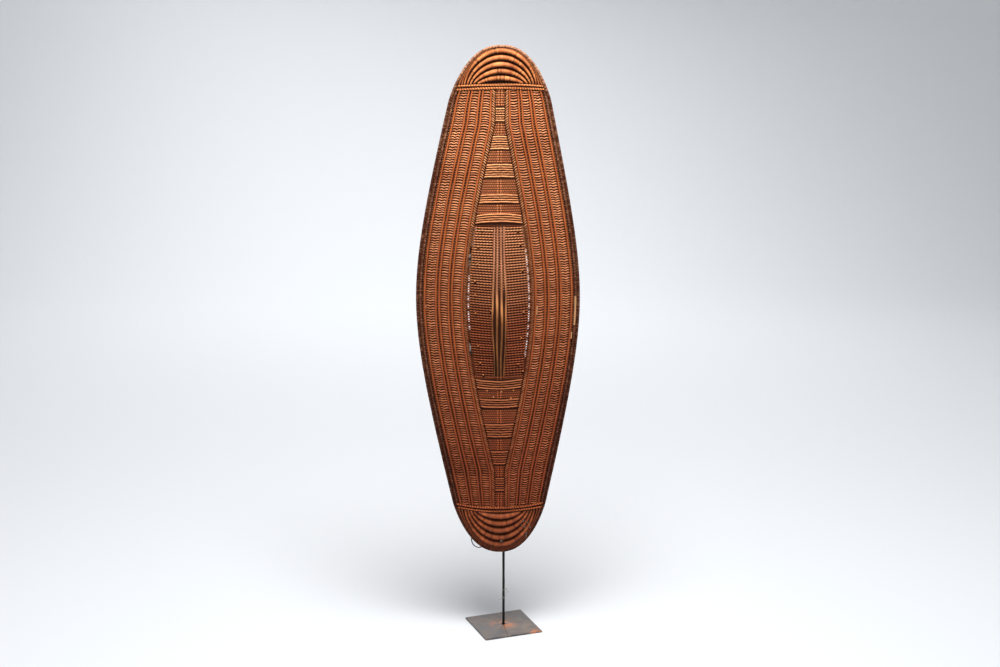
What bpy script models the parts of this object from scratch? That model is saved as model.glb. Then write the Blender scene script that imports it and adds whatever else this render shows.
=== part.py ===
"""A woven cane shield on a rod stand.

Metres, +Z up. The shield's front faces -Y. The origin is the centre of the base plate's underside.
The shield is laid out on a chart: "across" runs from the spine (0) over the edge of the central
field (1 or -1) to the edge of the woven body (2 or -2), "along" is the height on the shield from
its middle, and "lift" is the distance in front of the woven body.
"""
import math

import bmesh
import bpy
from mathutils import Vector

# Clearance between pieces that touch
GAP = 0.0003

# Outline of the shield, with its rim
SHIELD_LENGTH = 1.250
SHIELD_WIDTH = 0.3986
WIDEST_HEIGHT = 0.0163
SIDE_TAPER = 0.2445
SIDE_ROUNDING = 0.1962
CAP_LENGTH = 0.136
CAP_SHOULDER = 1.185
CAP_ROUNDING = 2.345

# Bend of the shield and its stance
LENGTHWISE_BOW = 0.060
CROSS_CURVE = 1.33
SIDE_BOW = (0.0089, 0.0039)
LEAN = math.radians(3.0)
SHIELD_SHIFT = -0.0130

# Woven body
BODY_THICKNESS = 0.007
STRIP_WIDTH = 0.1165
FIELD_END_HALF_WIDTH = 0.0105
WAVE_CROWN = 0.003
WAVE_END = 0.022
RIM_WIDTH = 0.0075
RIM_PROUD = 0.0025
RIM_FOOT_SHARE = 0.4

# Boss panel with its twined rows, and the slots beside it
BOSS_RISE = 0.032
BOSS_REACH = 0.29
BOSS_RIDGE = 1.3
PANEL_TOP = 0.200
PANEL_BOTTOM = -0.162
PANEL_ROWS = 58
PANEL_THICKNESS = 0.004
ROW_HEIGHT = 0.0022
SLOT_WIDTH = 0.0026
PANEL_END_GAP = 0.0008

# Spine rods over the boss panel, which spread at its middle
SPINE_RODS = 4
SPINE_STEP_MIDDLE = 0.0092
SPINE_STEP_END = 0.0071
SPINE_SPREAD_REACH = 0.15
SPINE_ROD_SHARE = 0.93
SPINE_ROD_HEIGHT_SHARE = 0.75
SPINE_ROD_TOP_SHARE = 0.3

# Lengthwise strands as shares of the strip between the central field and the rim
STRAND_PLACES = {
    "field_twist": 0.055,
    "field_cord": 0.112,
    "inner_cord_a": 0.312,
    "inner_cord_b": 0.384,
    "middle_cord_a": 0.571,
    "middle_cord_b": 0.643,
    "outer_cord_a": 0.869,
    "outer_cord_b": 0.951,
}
WAVE_COLUMNS = ((0.147, 0.282), (0.418, 0.544), (0.680, 0.837))
STRAND_SHARE = 0.052
STRAND_HEIGHT = 0.0048
STRAND_STOP = 0.001

# Ladder bands, counted from the boss towards each end
LADDER_BARS = (4, 4, 6, 6, 6)
LADDER_FIRST = (0.0156, 0.0200)
LADDER_NARROW_STEP = 0.0485
LADDER_WIDE_STEP = (0.0660, 0.0700)
LADDER_PITCH = (0.0055, 0.0060)
LADDER_HEIGHT = 0.0042
LADDER_VALLEY = 0.0010
LADDER_FIRST_BOW = (0.0050, 0.0025)

# Cross cords at the foot of each cap
CROSS_CORD_PLACE = (0.5235, 0.5035)
CROSS_CORD_STEP = (0.0077, 0.0085)
CROSS_CORD_WIDTH = 0.0070
CROSS_CORD_HEIGHT = 0.0060
CROSS_CORD_TOP_SHARE = 0.5
CROSS_CORD_BOW = (0.0045, 0.0080)

# Wrapped rolls of each cap, from the inner one outwards, as shares of the cap's height and width
ROLLS = 5
ROLL_FIRST = (0.178, 0.132)
ROLL_STEP = (0.185, 0.179)
ROLL_FIRST_SPREAD = 0.569
ROLL_SPREAD_STEP = 0.066
ROLL_FIRST_POINT = 1.50
ROLL_POINT_STEP = -0.08
ROLL_MIDDLE_WIDTH = 0.84
ROLL_END_WIDTH = 0.32
ROLL_HEIGHT_SHARE = 0.62
ROLL_TOP_SHARE = 0.28
ROLL_FOOT_LIFT = 0.0009
ROLL_TURN_STEP = 0.01
ROLL_SEGMENTS = 10

# Grip behind the boss
GRIP_HALF_LENGTH = 0.150
GRIP_WIDTH = 0.022
GRIP_DEPTH = 0.018
GRIP_SIDES = 8
LASHING_RADIUS = 0.0009
LASHING_KNOT_RADIUS = 0.0038
LASHING_STUB_SHARE = 1.5
LASHING_BEHIND = 0.0027
KNOT_REACH = 0.8
LASHING_HEIGHTS = (0.122, -0.105)

# Stand
PLATE_SIDE = 0.150
PLATE_THICKNESS = 0.004
PLATE_TURN = math.radians(18.5)
PLATE_BEVEL = 0.0005
ROD_RADIUS = 0.0031
ROD_SIDES = 12
ROD_CLEARANCE = 0.1968
ROD_TOP_ON_SHIELD = -0.020
GRIP_SIDE = -SHIELD_SHIFT

# Wires
TIE_WIRE_RADIUS = 0.0006
TIE_KNOT_RADIUS = 0.0021
TIE_PLACE = 0.755
TIE_HOLE_HEIGHT = 0.0056
TIE_STEPS = 7
TIE_TAIL_SHARE = 0.3
GRIP_TIE_HEIGHT = -0.045
GRIP_TIE_TURNS = (165.0, 115.0, 65.0, 15.0)
BINDING_WIRE_RADIUS = 0.0006
BINDING_TURNS = 2.4
BINDING_STEPS = 18
BINDING_LOW = 0.073
BINDING_HIGH = 0.094
BINDING_LOW_TAIL = (-0.0120, 0.0000, 0.0690)
BINDING_HIGH_TAIL = (0.0104, -0.0040, 0.1020)
LOOP_WIRE_RADIUS = 0.0009
LOOP_SPAN = (-0.607, -0.583)
LOOP_BULGE = 0.008
LOOP_CLEARANCE = 0.0012
LOOP_STEPS = 8

# Fineness of the facets
SIDE_SEGMENTS = 4
WINDOW_SEGMENTS = 8
PANEL_SEGMENTS = 2
CAP_SHARES = (0.24, 0.48, 0.70, 0.86, 0.95, 0.985, 0.997)
STATION_CLEARANCE = 0.004
CORD_SEGMENTS = 8
GRIP_SEGMENTS = 12
NORMAL_STEP = 0.0005
SHARP_ANGLE = math.radians(35)

TOP, BOTTOM = 0, 1
HALF_LENGTH = SHIELD_LENGTH / 2
HALF_WIDTH = SHIELD_WIDTH / 2
INSET = RIM_WIDTH + GAP
CAP_FOOT = tuple(cord + step for cord, step in zip(CROSS_CORD_PLACE, CROSS_CORD_STEP))
CAP_ROOM = tuple(HALF_LENGTH - INSET - foot for foot in CAP_FOOT)
TIE_HEIGHT = -(CAP_FOOT[BOTTOM] + TIE_PLACE * CAP_ROOM[BOTTOM])


def clear_scene():
    for old in list(bpy.data.objects):
        bpy.data.objects.remove(old, do_unlink=True)


def material(name, colour, roughness, metallic=0.0):
    made = bpy.data.materials.new(name)
    made.use_nodes = True
    shader = made.node_tree.nodes["Principled BSDF"]
    shader.inputs["Base Color"].default_value = (*colour, 1.0)
    shader.inputs["Roughness"].default_value = roughness
    shader.inputs["Metallic"].default_value = metallic
    return made


# Outline and curved sheet


def side_half_width(along):
    run = along - WIDEST_HEIGHT
    return HALF_WIDTH - SIDE_TAPER * (math.hypot(run, SIDE_ROUNDING) - SIDE_ROUNDING)


def outline_half_width(along):
    """Half the width of the shield with its rim, at one height."""
    cap_start = HALF_LENGTH - CAP_LENGTH
    if abs(along) <= cap_start:
        return side_half_width(along)
    share = min((abs(along) - cap_start) / CAP_LENGTH, 1.0)
    foot = side_half_width(math.copysign(cap_start, along))
    return foot * (1.0 - share ** CAP_SHOULDER) ** (1.0 / CAP_ROUNDING)


def body_half_width(along):
    """Half the width of the woven body inside the rim."""
    grown = along * HALF_LENGTH / (HALF_LENGTH - INSET)
    return outline_half_width(grown) * (HALF_WIDTH - INSET) / HALF_WIDTH


def field_half_width(along):
    """Half the width of the central field between the two strips."""
    body = body_half_width(along)
    cord = CROSS_CORD_PLACE[TOP] if along > 0 else -CROSS_CORD_PLACE[BOTTOM]
    tapered = FIELD_END_HALF_WIDTH * min(body / body_half_width(cord), 1.0)
    return max(body - STRIP_WIDTH, tapered)


def boss_rise(along):
    middle = (PANEL_TOP + PANEL_BOTTOM) / 2
    share = min(abs(along - middle) / BOSS_REACH, 1.0)
    return BOSS_RISE * math.cos(share * math.pi / 2) ** 2


def sheet_depth(side, along):
    """How far the bent sheet stands forward, without the boss."""
    return LENGTHWISE_BOW * (1.0 - (along / HALF_LENGTH) ** 2) - CROSS_CURVE * side * side


def sheet_normal(side, along):
    slope_side = -2.0 * CROSS_CURVE * side
    slope_along = -2.0 * LENGTHWISE_BOW * along / HALF_LENGTH ** 2
    return Vector((-slope_side, -slope_along, 1.0)).normalized()


def on_sheet(side, along, lift=0.0):
    """Point of the bent sheet in the shield's own axes: side, along, forward."""
    return Vector((side, along, sheet_depth(side, along))) + lift * sheet_normal(side, along)


def surface(across, along, margin=0.0):
    """Point of the woven front on the chart, with the boss."""
    field = field_half_width(along) - margin
    reach = abs(across)
    if reach <= 1.0:
        point = on_sheet(across * field, along)
        point.z += boss_rise(along) * (1.0 - reach ** BOSS_RIDGE)
        return point
    side = field + (reach - 1.0) * (body_half_width(along) - field)
    return on_sheet(math.copysign(side, across), along)


def surface_normal(across, along, margin=0.0):
    step = NORMAL_STEP
    last = 2.0 - 2 * step
    reach = max(-last, min(last, across))
    edge = surface(reach + step, along, margin) - surface(reach - step, along, margin)
    rise = surface(reach, along + step, margin) - surface(reach, along - step, margin)
    return edge.cross(rise).normalized()


# Stance of the shield on the rod

BACK_OF_RIM = BODY_THICKNESS + RIM_PROUD + GAP
FOOT_HEIGHT = -(HALF_LENGTH - RIM_WIDTH / 2)
FOOT_BACK = on_sheet(0.0, FOOT_HEIGHT, -BACK_OF_RIM)
SHIELD_BOTTOM = PLATE_THICKNESS + ROD_CLEARANCE
ROD_FRONT = -(ROD_RADIUS + GAP)


def side_bow(along):
    """How far the shield bends to one side, more towards its ends."""
    end = TOP if along > 0 else BOTTOM
    return SIDE_BOW[end] * (along / HALF_LENGTH) ** 2


def tilt(point):
    """Turn a point from the shield's own axes into upright axes."""
    side, along, forward = point
    return Vector((
        side + side_bow(along),
        along * math.sin(LEAN) - forward * math.cos(LEAN),
        along * math.cos(LEAN) + forward * math.sin(LEAN),
    ))


SHIELD_ORIGIN = Vector((
    SHIELD_SHIFT,
    ROD_FRONT - tilt(FOOT_BACK).y,
    SHIELD_BOTTOM - tilt(Vector((0.0, -HALF_LENGTH, 0.0))).z,
))


def place(point):
    """Turn a point from the shield's own axes into the part's frame."""
    return SHIELD_ORIGIN + tilt(point)


def rod_forward(along):
    """How far forward the rod's front lies at one height on the shield, in the shield's axes."""
    return (SHIELD_ORIGIN.y + along * math.sin(LEAN) - ROD_FRONT) / math.cos(LEAN)


class Lattice:
    """Facets of a bent sheet, which whatever lies on them follows exactly."""

    def __init__(self, lines, stations, margin=0.0, crown=lambda across, along: 0.0):
        self.lines = lines
        self.stations = stations
        self.normals = []
        self.points = []
        for along in stations:
            normals = [surface_normal(across, along, margin) for across in lines]
            points = [
                surface(across, along, margin) + crown(across, along) * normal
                for across, normal in zip(lines, normals)
            ]
            self.normals.append(normals)
            self.points.append(points)

    @staticmethod
    def cell(marks, value):
        last = len(marks) - 2
        index = 0
        while index < last and value > marks[index + 1]:
            index += 1
        return index, (value - marks[index]) / (marks[index + 1] - marks[index])

    def at(self, across, along, lift=0.0):
        row, up = self.cell(self.stations, along)
        column, over = self.cell(self.lines, across)
        corners = []
        for line in (column, column + 1):
            low = self.points[row][line] + lift * self.normals[row][line]
            high = self.points[row + 1][line] + lift * self.normals[row + 1][line]
            corners.append(low.lerp(high, up))
        return corners[0].lerp(corners[1], over)

    def across_of(self, side, along):
        """The chart place of a distance from the spine."""
        row, up = self.cell(self.stations, along)
        sides = [
            low.x + (high.x - low.x) * up
            for low, high in zip(self.points[row], self.points[row + 1])
        ]
        column, over = self.cell(sides, side)
        return self.lines[column] + over * (self.lines[column + 1] - self.lines[column])

    def at_side(self, side, along, lift=0.0):
        return self.at(self.across_of(side, along), along, lift)


# Mesh helpers


def finish_mesh(name, mesh_maker, look):
    """Make a named object from a bmesh, shaded smooth except at its sharp edges."""
    bmesh.ops.recalc_face_normals(mesh_maker, faces=mesh_maker.faces)
    mesh = bpy.data.meshes.new(name)
    mesh_maker.to_mesh(mesh)
    mesh_maker.free()
    mesh.shade_smooth()
    mesh.set_sharp_from_angle(angle=SHARP_ANGLE)
    mesh.materials.append(look)
    made = bpy.data.objects.new(name, mesh)
    bpy.context.collection.objects.link(made)
    return made


def split_quad(maker, low_left, low_right, high_right, high_left):
    """Two triangles folded on the diagonal that lies further back, clear of what rests in front."""
    rising = low_left.co.y + high_right.co.y
    falling = low_right.co.y + high_left.co.y
    if rising >= falling:
        maker.faces.new((low_left, low_right, high_right))
        maker.faces.new((low_left, high_right, high_left))
    else:
        maker.faces.new((low_left, low_right, high_left))
        maker.faces.new((low_right, high_right, high_left))


def sweep(name, sections, look, closed=False):
    """Skin a row of equal sections into one solid."""
    maker = bmesh.new()
    rings = [[maker.verts.new(place(point)) for point in section] for section in sections]
    pairs = list(zip(rings, rings[1:]))
    if closed:
        pairs.append((rings[-1], rings[0]))
    for low, high in pairs:
        for index in range(len(low)):
            after = (index + 1) % len(low)
            split_quad(maker, low[index], low[after], high[after], high[index])
    if not closed:
        maker.faces.new(rings[0])
        maker.faces.new(rings[-1])
    return finish_mesh(name, maker, look)


def ribbed_slab(name, at, lines, low, high, rows, heights, back, look):
    """A slab whose front is a row of rounded bars, on whatever the function at describes."""
    valley, crest = heights
    step = (high - low) / rows
    maker = bmesh.new()

    def row_of(along, lift):
        return [maker.verts.new(place(at(across, along, lift))) for across in lines]

    valleys = [row_of(low + step * count, valley) for count in range(rows + 1)]
    crests = [row_of(low + step * (count + 0.5), crest) for count in range(rows)]
    backs = [row_of(low + step * count, back) for count in range(rows + 1)]
    for count in range(rows):
        for left in range(len(lines) - 1):
            right = left + 1
            split_quad(
                maker, valleys[count][left], valleys[count][right],
                crests[count][right], crests[count][left])
            split_quad(
                maker, crests[count][left], crests[count][right],
                valleys[count + 1][right], valleys[count + 1][left])
            split_quad(
                maker, backs[count][left], backs[count][right],
                backs[count + 1][right], backs[count + 1][left])
        for edge in (0, -1):
            corners = (
                valleys[count][edge], crests[count][edge], valleys[count + 1][edge],
                backs[count + 1][edge], backs[count][edge])
            maker.faces.new(corners)
    for end in (0, -1):
        maker.faces.new(valleys[end] + backs[end][::-1])
    return finish_mesh(name, maker, look)


def wire(name, points, radius, look, closed=False, swell=None):
    """A wire or thong along points in the part's frame, with swell to thicken it into a knot."""
    curve = bpy.data.curves.new(name, "CURVE")
    curve.dimensions = "3D"
    curve.bevel_depth = radius
    curve.bevel_resolution = 0
    curve.use_fill_caps = True
    spline = curve.splines.new("POLY")
    spline.points.add(len(points) - 1)
    spline.use_cyclic_u = closed
    for index, point in enumerate(points):
        spline.points[index].co = (*point, 1.0)
        spline.points[index].radius = swell[index] if swell else 1.0
    curve.materials.append(look)
    made = bpy.data.objects.new(name, curve)
    bpy.context.collection.objects.link(made)
    return made


# Stations and lines shared by all pieces


def strip_lines():
    """Chart lines of one strip: both edges and the crown of each wave column."""
    lines = [1.0]
    for low, high in WAVE_COLUMNS:
        lines += [1.0 + low, 1.0 + (low + high) / 2, 1.0 + high]
    return lines + [2.0]


def window_stations():
    step = (PANEL_TOP - PANEL_BOTTOM) / WINDOW_SEGMENTS
    return [PANEL_BOTTOM + step * count for count in range(WINDOW_SEGMENTS + 1)]


def body_stations():
    tip = HALF_LENGTH - INSET
    stations = window_stations()
    for end, start, sign in ((TOP, PANEL_TOP, 1), (BOTTOM, -PANEL_BOTTOM, -1)):
        cord = CROSS_CORD_PLACE[end]
        step = (cord - WAVE_END - start) / SIDE_SEGMENTS
        stations += [sign * (start + step * (count + 1)) for count in range(SIDE_SEGMENTS)]
        stations.append(sign * (cord - CROSS_CORD_BOW[end] - CROSS_CORD_WIDTH / 2 - STRAND_STOP))
        stations.append(sign * cord)
        stations += [sign * (cord + (tip - cord) * share) for share in CAP_SHARES]
    hole = (TIE_HEIGHT - TIE_HOLE_HEIGHT / 2, TIE_HEIGHT + TIE_HOLE_HEIGHT / 2)
    low = hole[0] - STATION_CLEARANCE
    high = hole[1] + STATION_CLEARANCE
    clear = [along for along in stations if not low < along < high]
    return sorted(clear + list(hole))


def wave_end(sign):
    """Where the wave columns stop short of a cap's cross cords."""
    return sign * (CROSS_CORD_PLACE[TOP if sign > 0 else BOTTOM] - WAVE_END)


def wave_crown(across, along):
    """How far the middle of each wave column stands out of the woven body."""
    middles = [1.0 + (low + high) / 2 for low, high in WAVE_COLUMNS]
    in_columns = wave_end(-1) <= along <= wave_end(1)
    return WAVE_CROWN if in_columns and abs(across) in middles else 0.0


def mirrored(lines):
    return sorted([-line for line in lines] + lines)


def back_lines():
    """The broader chart lines of the woven body's back."""
    first_wave = 1.0 + WAVE_COLUMNS[0][0]
    middle = 1.0 + sum(WAVE_COLUMNS[1]) / 2
    return [-2.0, -middle, -1.0, 0.0, 1.0, first_wave, middle, 2.0]


def panel_lines():
    return [count / PANEL_SEGMENTS for count in range(-PANEL_SEGMENTS, PANEL_SEGMENTS + 1)]


BODY_LINES = sorted(set(mirrored(strip_lines()) + [0.0]))
BODY_STATIONS = body_stations()
BODY = Lattice(BODY_LINES, BODY_STATIONS, crown=wave_crown)
PANEL = Lattice(panel_lines(), window_stations(), margin=SLOT_WIDTH)


# Woven body and rim


def open_cell(row, column):
    """True for the window behind the boss panel, and for the hole that the tie wire passes through."""
    middle = (BODY_STATIONS[row] + BODY_STATIONS[row + 1]) / 2
    in_window = -1.0 <= BODY_LINES[column] < 1.0 and PANEL_BOTTOM < middle < PANEL_TOP
    beside_field = 1.0 <= BODY_LINES[column] < 1.0 + WAVE_COLUMNS[0][0]
    return in_window or (beside_field and abs(middle - TIE_HEIGHT) < TIE_HOLE_HEIGHT / 2)


def make_woven_body(look):
    """The woven sheet: every chart line on its front, and the broad ones on its plainer back."""
    maker = bmesh.new()
    front = [[maker.verts.new(place(point)) for point in row] for row in BODY.points]
    broad = [BODY_LINES.index(line) for line in back_lines()]
    back = [
        {
            column: maker.verts.new(place(
                surface(BODY_LINES[column], along) - BODY_THICKNESS * BODY.normals[row][column]))
            for column in broad
        }
        for row, along in enumerate(BODY_STATIONS)
    ]
    cells = [(row, span) for row in range(len(BODY_STATIONS) - 1) for span in range(len(broad) - 1)]
    kept = {(row, span) for row, span in cells if not open_cell(row, broad[span])}
    for row, span in kept:
        left, right = broad[span], broad[span + 1]
        for column in range(left, right):
            split_quad(
                maker, front[row][column], front[row][column + 1],
                front[row + 1][column + 1], front[row + 1][column])
        split_quad(
            maker, back[row][left], back[row][right], back[row + 1][right], back[row + 1][left])
        for beyond, edge in ((span - 1, left), (span + 1, right)):
            if (row, beyond) not in kept:
                maker.faces.new((
                    front[row][edge], front[row + 1][edge], back[row + 1][edge], back[row][edge]))
        for beyond, edge in ((row - 1, row), (row + 1, row + 1)):
            if (beyond, span) not in kept:
                maker.faces.new(front[edge][left:right + 1] + [back[edge][right], back[edge][left]])
    loose = [vert for vert in maker.verts if not vert.link_faces]
    bmesh.ops.delete(maker, geom=loose, context="VERTS")
    return finish_mesh("woven_body", maker, look)


def body_border():
    """The woven body's edge as a closed loop of side and along, anticlockwise from the lower right."""
    right = [(BODY.points[row][-1].x, along) for row, along in enumerate(BODY_STATIONS)]
    return right + [(-side, along) for side, along in reversed(right)]


def offset_corner(before, corner, after, distance):
    """A corner of a loop moved outwards so that both its edges move by the distance."""
    first = (Vector(corner) - Vector(before)).normalized()
    second = (Vector(after) - Vector(corner)).normalized()
    outward_first = Vector((first.y, -first.x))
    outward_second = Vector((second.y, -second.x))
    bisector = (outward_first + outward_second).normalized()
    return Vector(corner) + bisector * (distance / bisector.dot(outward_first))


def make_rim(look):
    border = body_border()
    profile = (
        (GAP, RIM_PROUD * RIM_FOOT_SHARE),
        (GAP + RIM_WIDTH / 2, RIM_PROUD),
        (GAP + RIM_WIDTH, -BODY_THICKNESS / 2),
        (GAP + RIM_WIDTH / 2, -BODY_THICKNESS - RIM_PROUD),
        (GAP, -BODY_THICKNESS - RIM_PROUD * RIM_FOOT_SHARE),
    )
    sections = []
    for index, corner in enumerate(border):
        before = border[index - 1]
        after = border[(index + 1) % len(border)]
        section = []
        for distance, lift in profile:
            side, along = offset_corner(before, corner, after, distance)
            section.append(on_sheet(side, along, lift))
        sections.append(section)
    return sweep("rim_hoop", sections, look, closed=True)


# Lengthwise strands


def cross_cord_line(end, side, step_count=0):
    """Height of a cross cord's centre line, bowed towards the tip at its middle."""
    share = side / body_half_width(CROSS_CORD_PLACE[end] * (1 if end == TOP else -1))
    straight = CROSS_CORD_PLACE[end] + CROSS_CORD_STEP[end] * step_count
    return straight - CROSS_CORD_BOW[end] * share ** 2


def strand_ends(across):
    """Lowest and highest places of a strand, just short of the cross cords."""
    ends = []
    for end, sign in ((BOTTOM, -1), (TOP, 1)):
        side = BODY.at(across, sign * CROSS_CORD_PLACE[end]).x
        stop = cross_cord_line(end, side) - CROSS_CORD_WIDTH / 2 - STRAND_STOP
        ends.append(sign * stop)
    return ends


def make_strand(name, across, look):
    low, high = strand_ends(across)
    between = [along for along in BODY_STATIONS if low + GAP < along < high - GAP]
    half = math.copysign(STRAND_SHARE / 2, across)
    sections = []
    for along in [low] + between + [high]:
        sections.append((
            BODY.at(across - half, along, GAP),
            BODY.at(across + half, along, GAP),
            BODY.at(across, along, GAP + STRAND_HEIGHT),
        ))
    return sweep(name, sections, look)


def make_strands(look):
    for side, sign in (("left", -1), ("right", 1)):
        for label, share in STRAND_PLACES.items():
            make_strand(f"{side}_{label}", sign * (1.0 + share), look)


# Caps


def make_cross_cords(look):
    profile = (
        (-1.0, 2 * GAP),
        (-CROSS_CORD_TOP_SHARE, CROSS_CORD_HEIGHT),
        (CROSS_CORD_TOP_SHARE, CROSS_CORD_HEIGHT),
        (1.0, 2 * GAP),
    )
    for end, sign, label in ((TOP, 1, "upper"), (BOTTOM, -1, "lower")):
        for count in (0, 1):
            edge = body_half_width(sign * cross_cord_line(end, HALF_WIDTH / 2, count + 1))
            reach = edge - CROSS_CORD_WIDTH / 2
            sections = []
            for index in range(CORD_SEGMENTS + 1):
                side = reach * (2 * index / CORD_SEGMENTS - 1)
                middle = cross_cord_line(end, side, count)
                half = CROSS_CORD_WIDTH / 2 - GAP
                sections.append([
                    BODY.at_side(side, sign * (middle + shift * half), lift)
                    for shift, lift in profile
                ])
            sweep(f"{label}_cross_cord_{count + 1}", sections, look)


def roll_point(count):
    """How pointed a roll's arch is: 1 for an ellipse, 2 for a parabola."""
    return ROLL_FIRST_POINT + ROLL_POINT_STEP * count


def roll_height(end, count):
    return CAP_ROOM[end] * (ROLL_FIRST[end] + ROLL_STEP[end] * count)


def roll_centre(end, count, turn):
    """Centre line of a roll: side, and height over the outer cross cord."""
    body = body_half_width(CAP_FOOT[end] if end == TOP else -CAP_FOOT[end])
    half_width = body * (ROLL_FIRST_SPREAD + ROLL_SPREAD_STEP * count)
    height = roll_height(end, count) * math.sin(turn) ** roll_point(count)
    return Vector((half_width * math.cos(turn), height))


def make_roll(name, end, count, look):
    sign = 1 if end == TOP else -1
    lowest = CROSS_CORD_WIDTH / 2 + GAP
    start = math.asin(((lowest + GAP) / roll_height(end, count)) ** (1.0 / roll_point(count)))
    spacing = CAP_ROOM[end] * ROLL_STEP[end]
    sections = []
    for index in range(ROLL_SEGMENTS + 1):
        turn = start + (math.pi - 2 * start) * index / ROLL_SEGMENTS
        centre = roll_centre(end, count, turn)
        ahead = roll_centre(end, count, turn + ROLL_TURN_STEP)
        run = ahead - roll_centre(end, count, turn - ROLL_TURN_STEP)
        outward = Vector((run.y, -run.x)).normalized()
        narrow = ROLL_END_WIDTH * spacing
        width = narrow + (ROLL_MIDDLE_WIDTH * spacing - narrow) * math.sin(turn) ** 2
        top = ROLL_HEIGHT_SHARE * width
        profile = (
            (-0.5, ROLL_FOOT_LIFT),
            (-ROLL_TOP_SHARE, top),
            (ROLL_TOP_SHARE, top),
            (0.5, ROLL_FOOT_LIFT),
        )
        section = []
        for shift, lift in profile:
            place_in_cap = centre + outward * shift * width
            rise = max(place_in_cap.y, lowest)
            along = cross_cord_line(end, place_in_cap.x, 1) + rise
            section.append(BODY.at_side(place_in_cap.x, sign * along, lift))
        sections.append(section)
    return sweep(name, sections, look)


def make_rolls(look):
    for end, label in ((TOP, "upper"), (BOTTOM, "lower")):
        for count in range(ROLLS):
            make_roll(f"{label}_cap_roll_{count + 1}", end, count, look)


# Central field


def ladder_centres(end):
    """Distances from the shield's middle to the centre of each ladder band."""
    start = PANEL_TOP if end == TOP else -PANEL_BOTTOM
    centre = start + LADDER_FIRST[end]
    centres = [centre, centre + LADDER_NARROW_STEP]
    while len(centres) < len(LADDER_BARS):
        centres.append(centres[-1] + LADDER_WIDE_STEP[end])
    return centres


def make_ladder_bands(look):
    for end, sign, label in ((TOP, 1, "upper"), (BOTTOM, -1, "lower")):
        for count, (bars, centre) in enumerate(zip(LADDER_BARS, ladder_centres(end))):
            half = bars * LADDER_PITCH[end] / 2
            low, high = sorted((sign * (centre - half), sign * (centre + half)))
            bow = 0.0 if count else sign * LADDER_FIRST_BOW[end]

            def bowed(across, along, lift):
                return BODY.at(across, along + bow * (1.0 - abs(across)), lift)

            ribbed_slab(
                f"{label}_ladder_band_{count + 1}", bowed, [-1.0, 0.0, 1.0], low, high, bars,
                (GAP + LADDER_VALLEY, GAP + LADDER_HEIGHT), GAP, look)


def make_boss_panel(look):
    return ribbed_slab(
        "boss_panel", PANEL.at, panel_lines(), PANEL_BOTTOM + PANEL_END_GAP,
        PANEL_TOP - PANEL_END_GAP, PANEL_ROWS,
        (0.0, ROW_HEIGHT), -PANEL_THICKNESS, look)


def spine_step(along):
    """Spacing of the spine rods, widest at the middle of the boss."""
    share = min(abs(along) / SPINE_SPREAD_REACH, 1.0)
    spread = math.cos(share * math.pi / 2) ** 2
    return SPINE_STEP_END + (SPINE_STEP_MIDDLE - SPINE_STEP_END) * spread


def make_spine_rods(look):
    profile = (
        (-0.5, 0.0),
        (-SPINE_ROD_TOP_SHARE, SPINE_ROD_HEIGHT_SHARE),
        (SPINE_ROD_TOP_SHARE, SPINE_ROD_HEIGHT_SHARE),
        (0.5, 0.0),
    )
    for count in range(SPINE_RODS):
        sections = []
        for along in window_stations():
            inside = max(PANEL_BOTTOM + PANEL_END_GAP, min(PANEL_TOP - PANEL_END_GAP, along))
            side = (count - (SPINE_RODS - 1) / 2) * spine_step(inside)
            size = SPINE_ROD_SHARE * spine_step(inside)
            section = []
            for shift, rise in profile:
                lift = ROW_HEIGHT + 2 * GAP + rise * size
                section.append(PANEL.at_side(side + shift * size, inside, lift))
            sections.append(section)
        sweep(f"spine_rod_{count + 1}", sections, look)


# Grip and its lashings


def grip_foot_forward():
    """How far forward the grip's feet reach, just behind the boss panel."""
    behind = [
        PANEL.at_side(GRIP_SIDE + side, along, -PANEL_THICKNESS - GAP).z
        for side in (-GRIP_WIDTH / 2, GRIP_WIDTH / 2)
        for along in (-GRIP_HALF_LENGTH, GRIP_HALF_LENGTH)
    ]
    return min(behind) - GAP


def grip_front(along):
    """Front face of the bowed grip bar, in the shield's axes."""
    middle = rod_forward(ROD_TOP_ON_SHIELD) + GAP + GRIP_DEPTH
    share = min(abs(along) / GRIP_HALF_LENGTH, 1.0)
    return middle + (grip_foot_forward() - middle) * math.sin(share * math.pi / 2) ** 2


def grip_corner(along, corner, clearance=0.0):
    """A corner of the grip bar's section, or of a loop laid round it."""
    angle = (corner + 0.5) * 2 * math.pi / GRIP_SIDES
    reach = 1.0 / math.cos(math.pi / GRIP_SIDES)
    side = GRIP_SIDE + (GRIP_WIDTH / 2 + clearance) * reach * math.cos(angle)
    middle = grip_front(along) - GRIP_DEPTH / 2
    return Vector((side, along, middle + (GRIP_DEPTH / 2 + clearance) * reach * math.sin(angle)))


def make_grip(look):
    sections = []
    for index in range(GRIP_SEGMENTS + 1):
        along = GRIP_HALF_LENGTH * (2 * index / GRIP_SEGMENTS - 1)
        sections.append([grip_corner(along, corner) for corner in range(GRIP_SIDES)])
    return sweep("grip_bar", sections, look)


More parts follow.
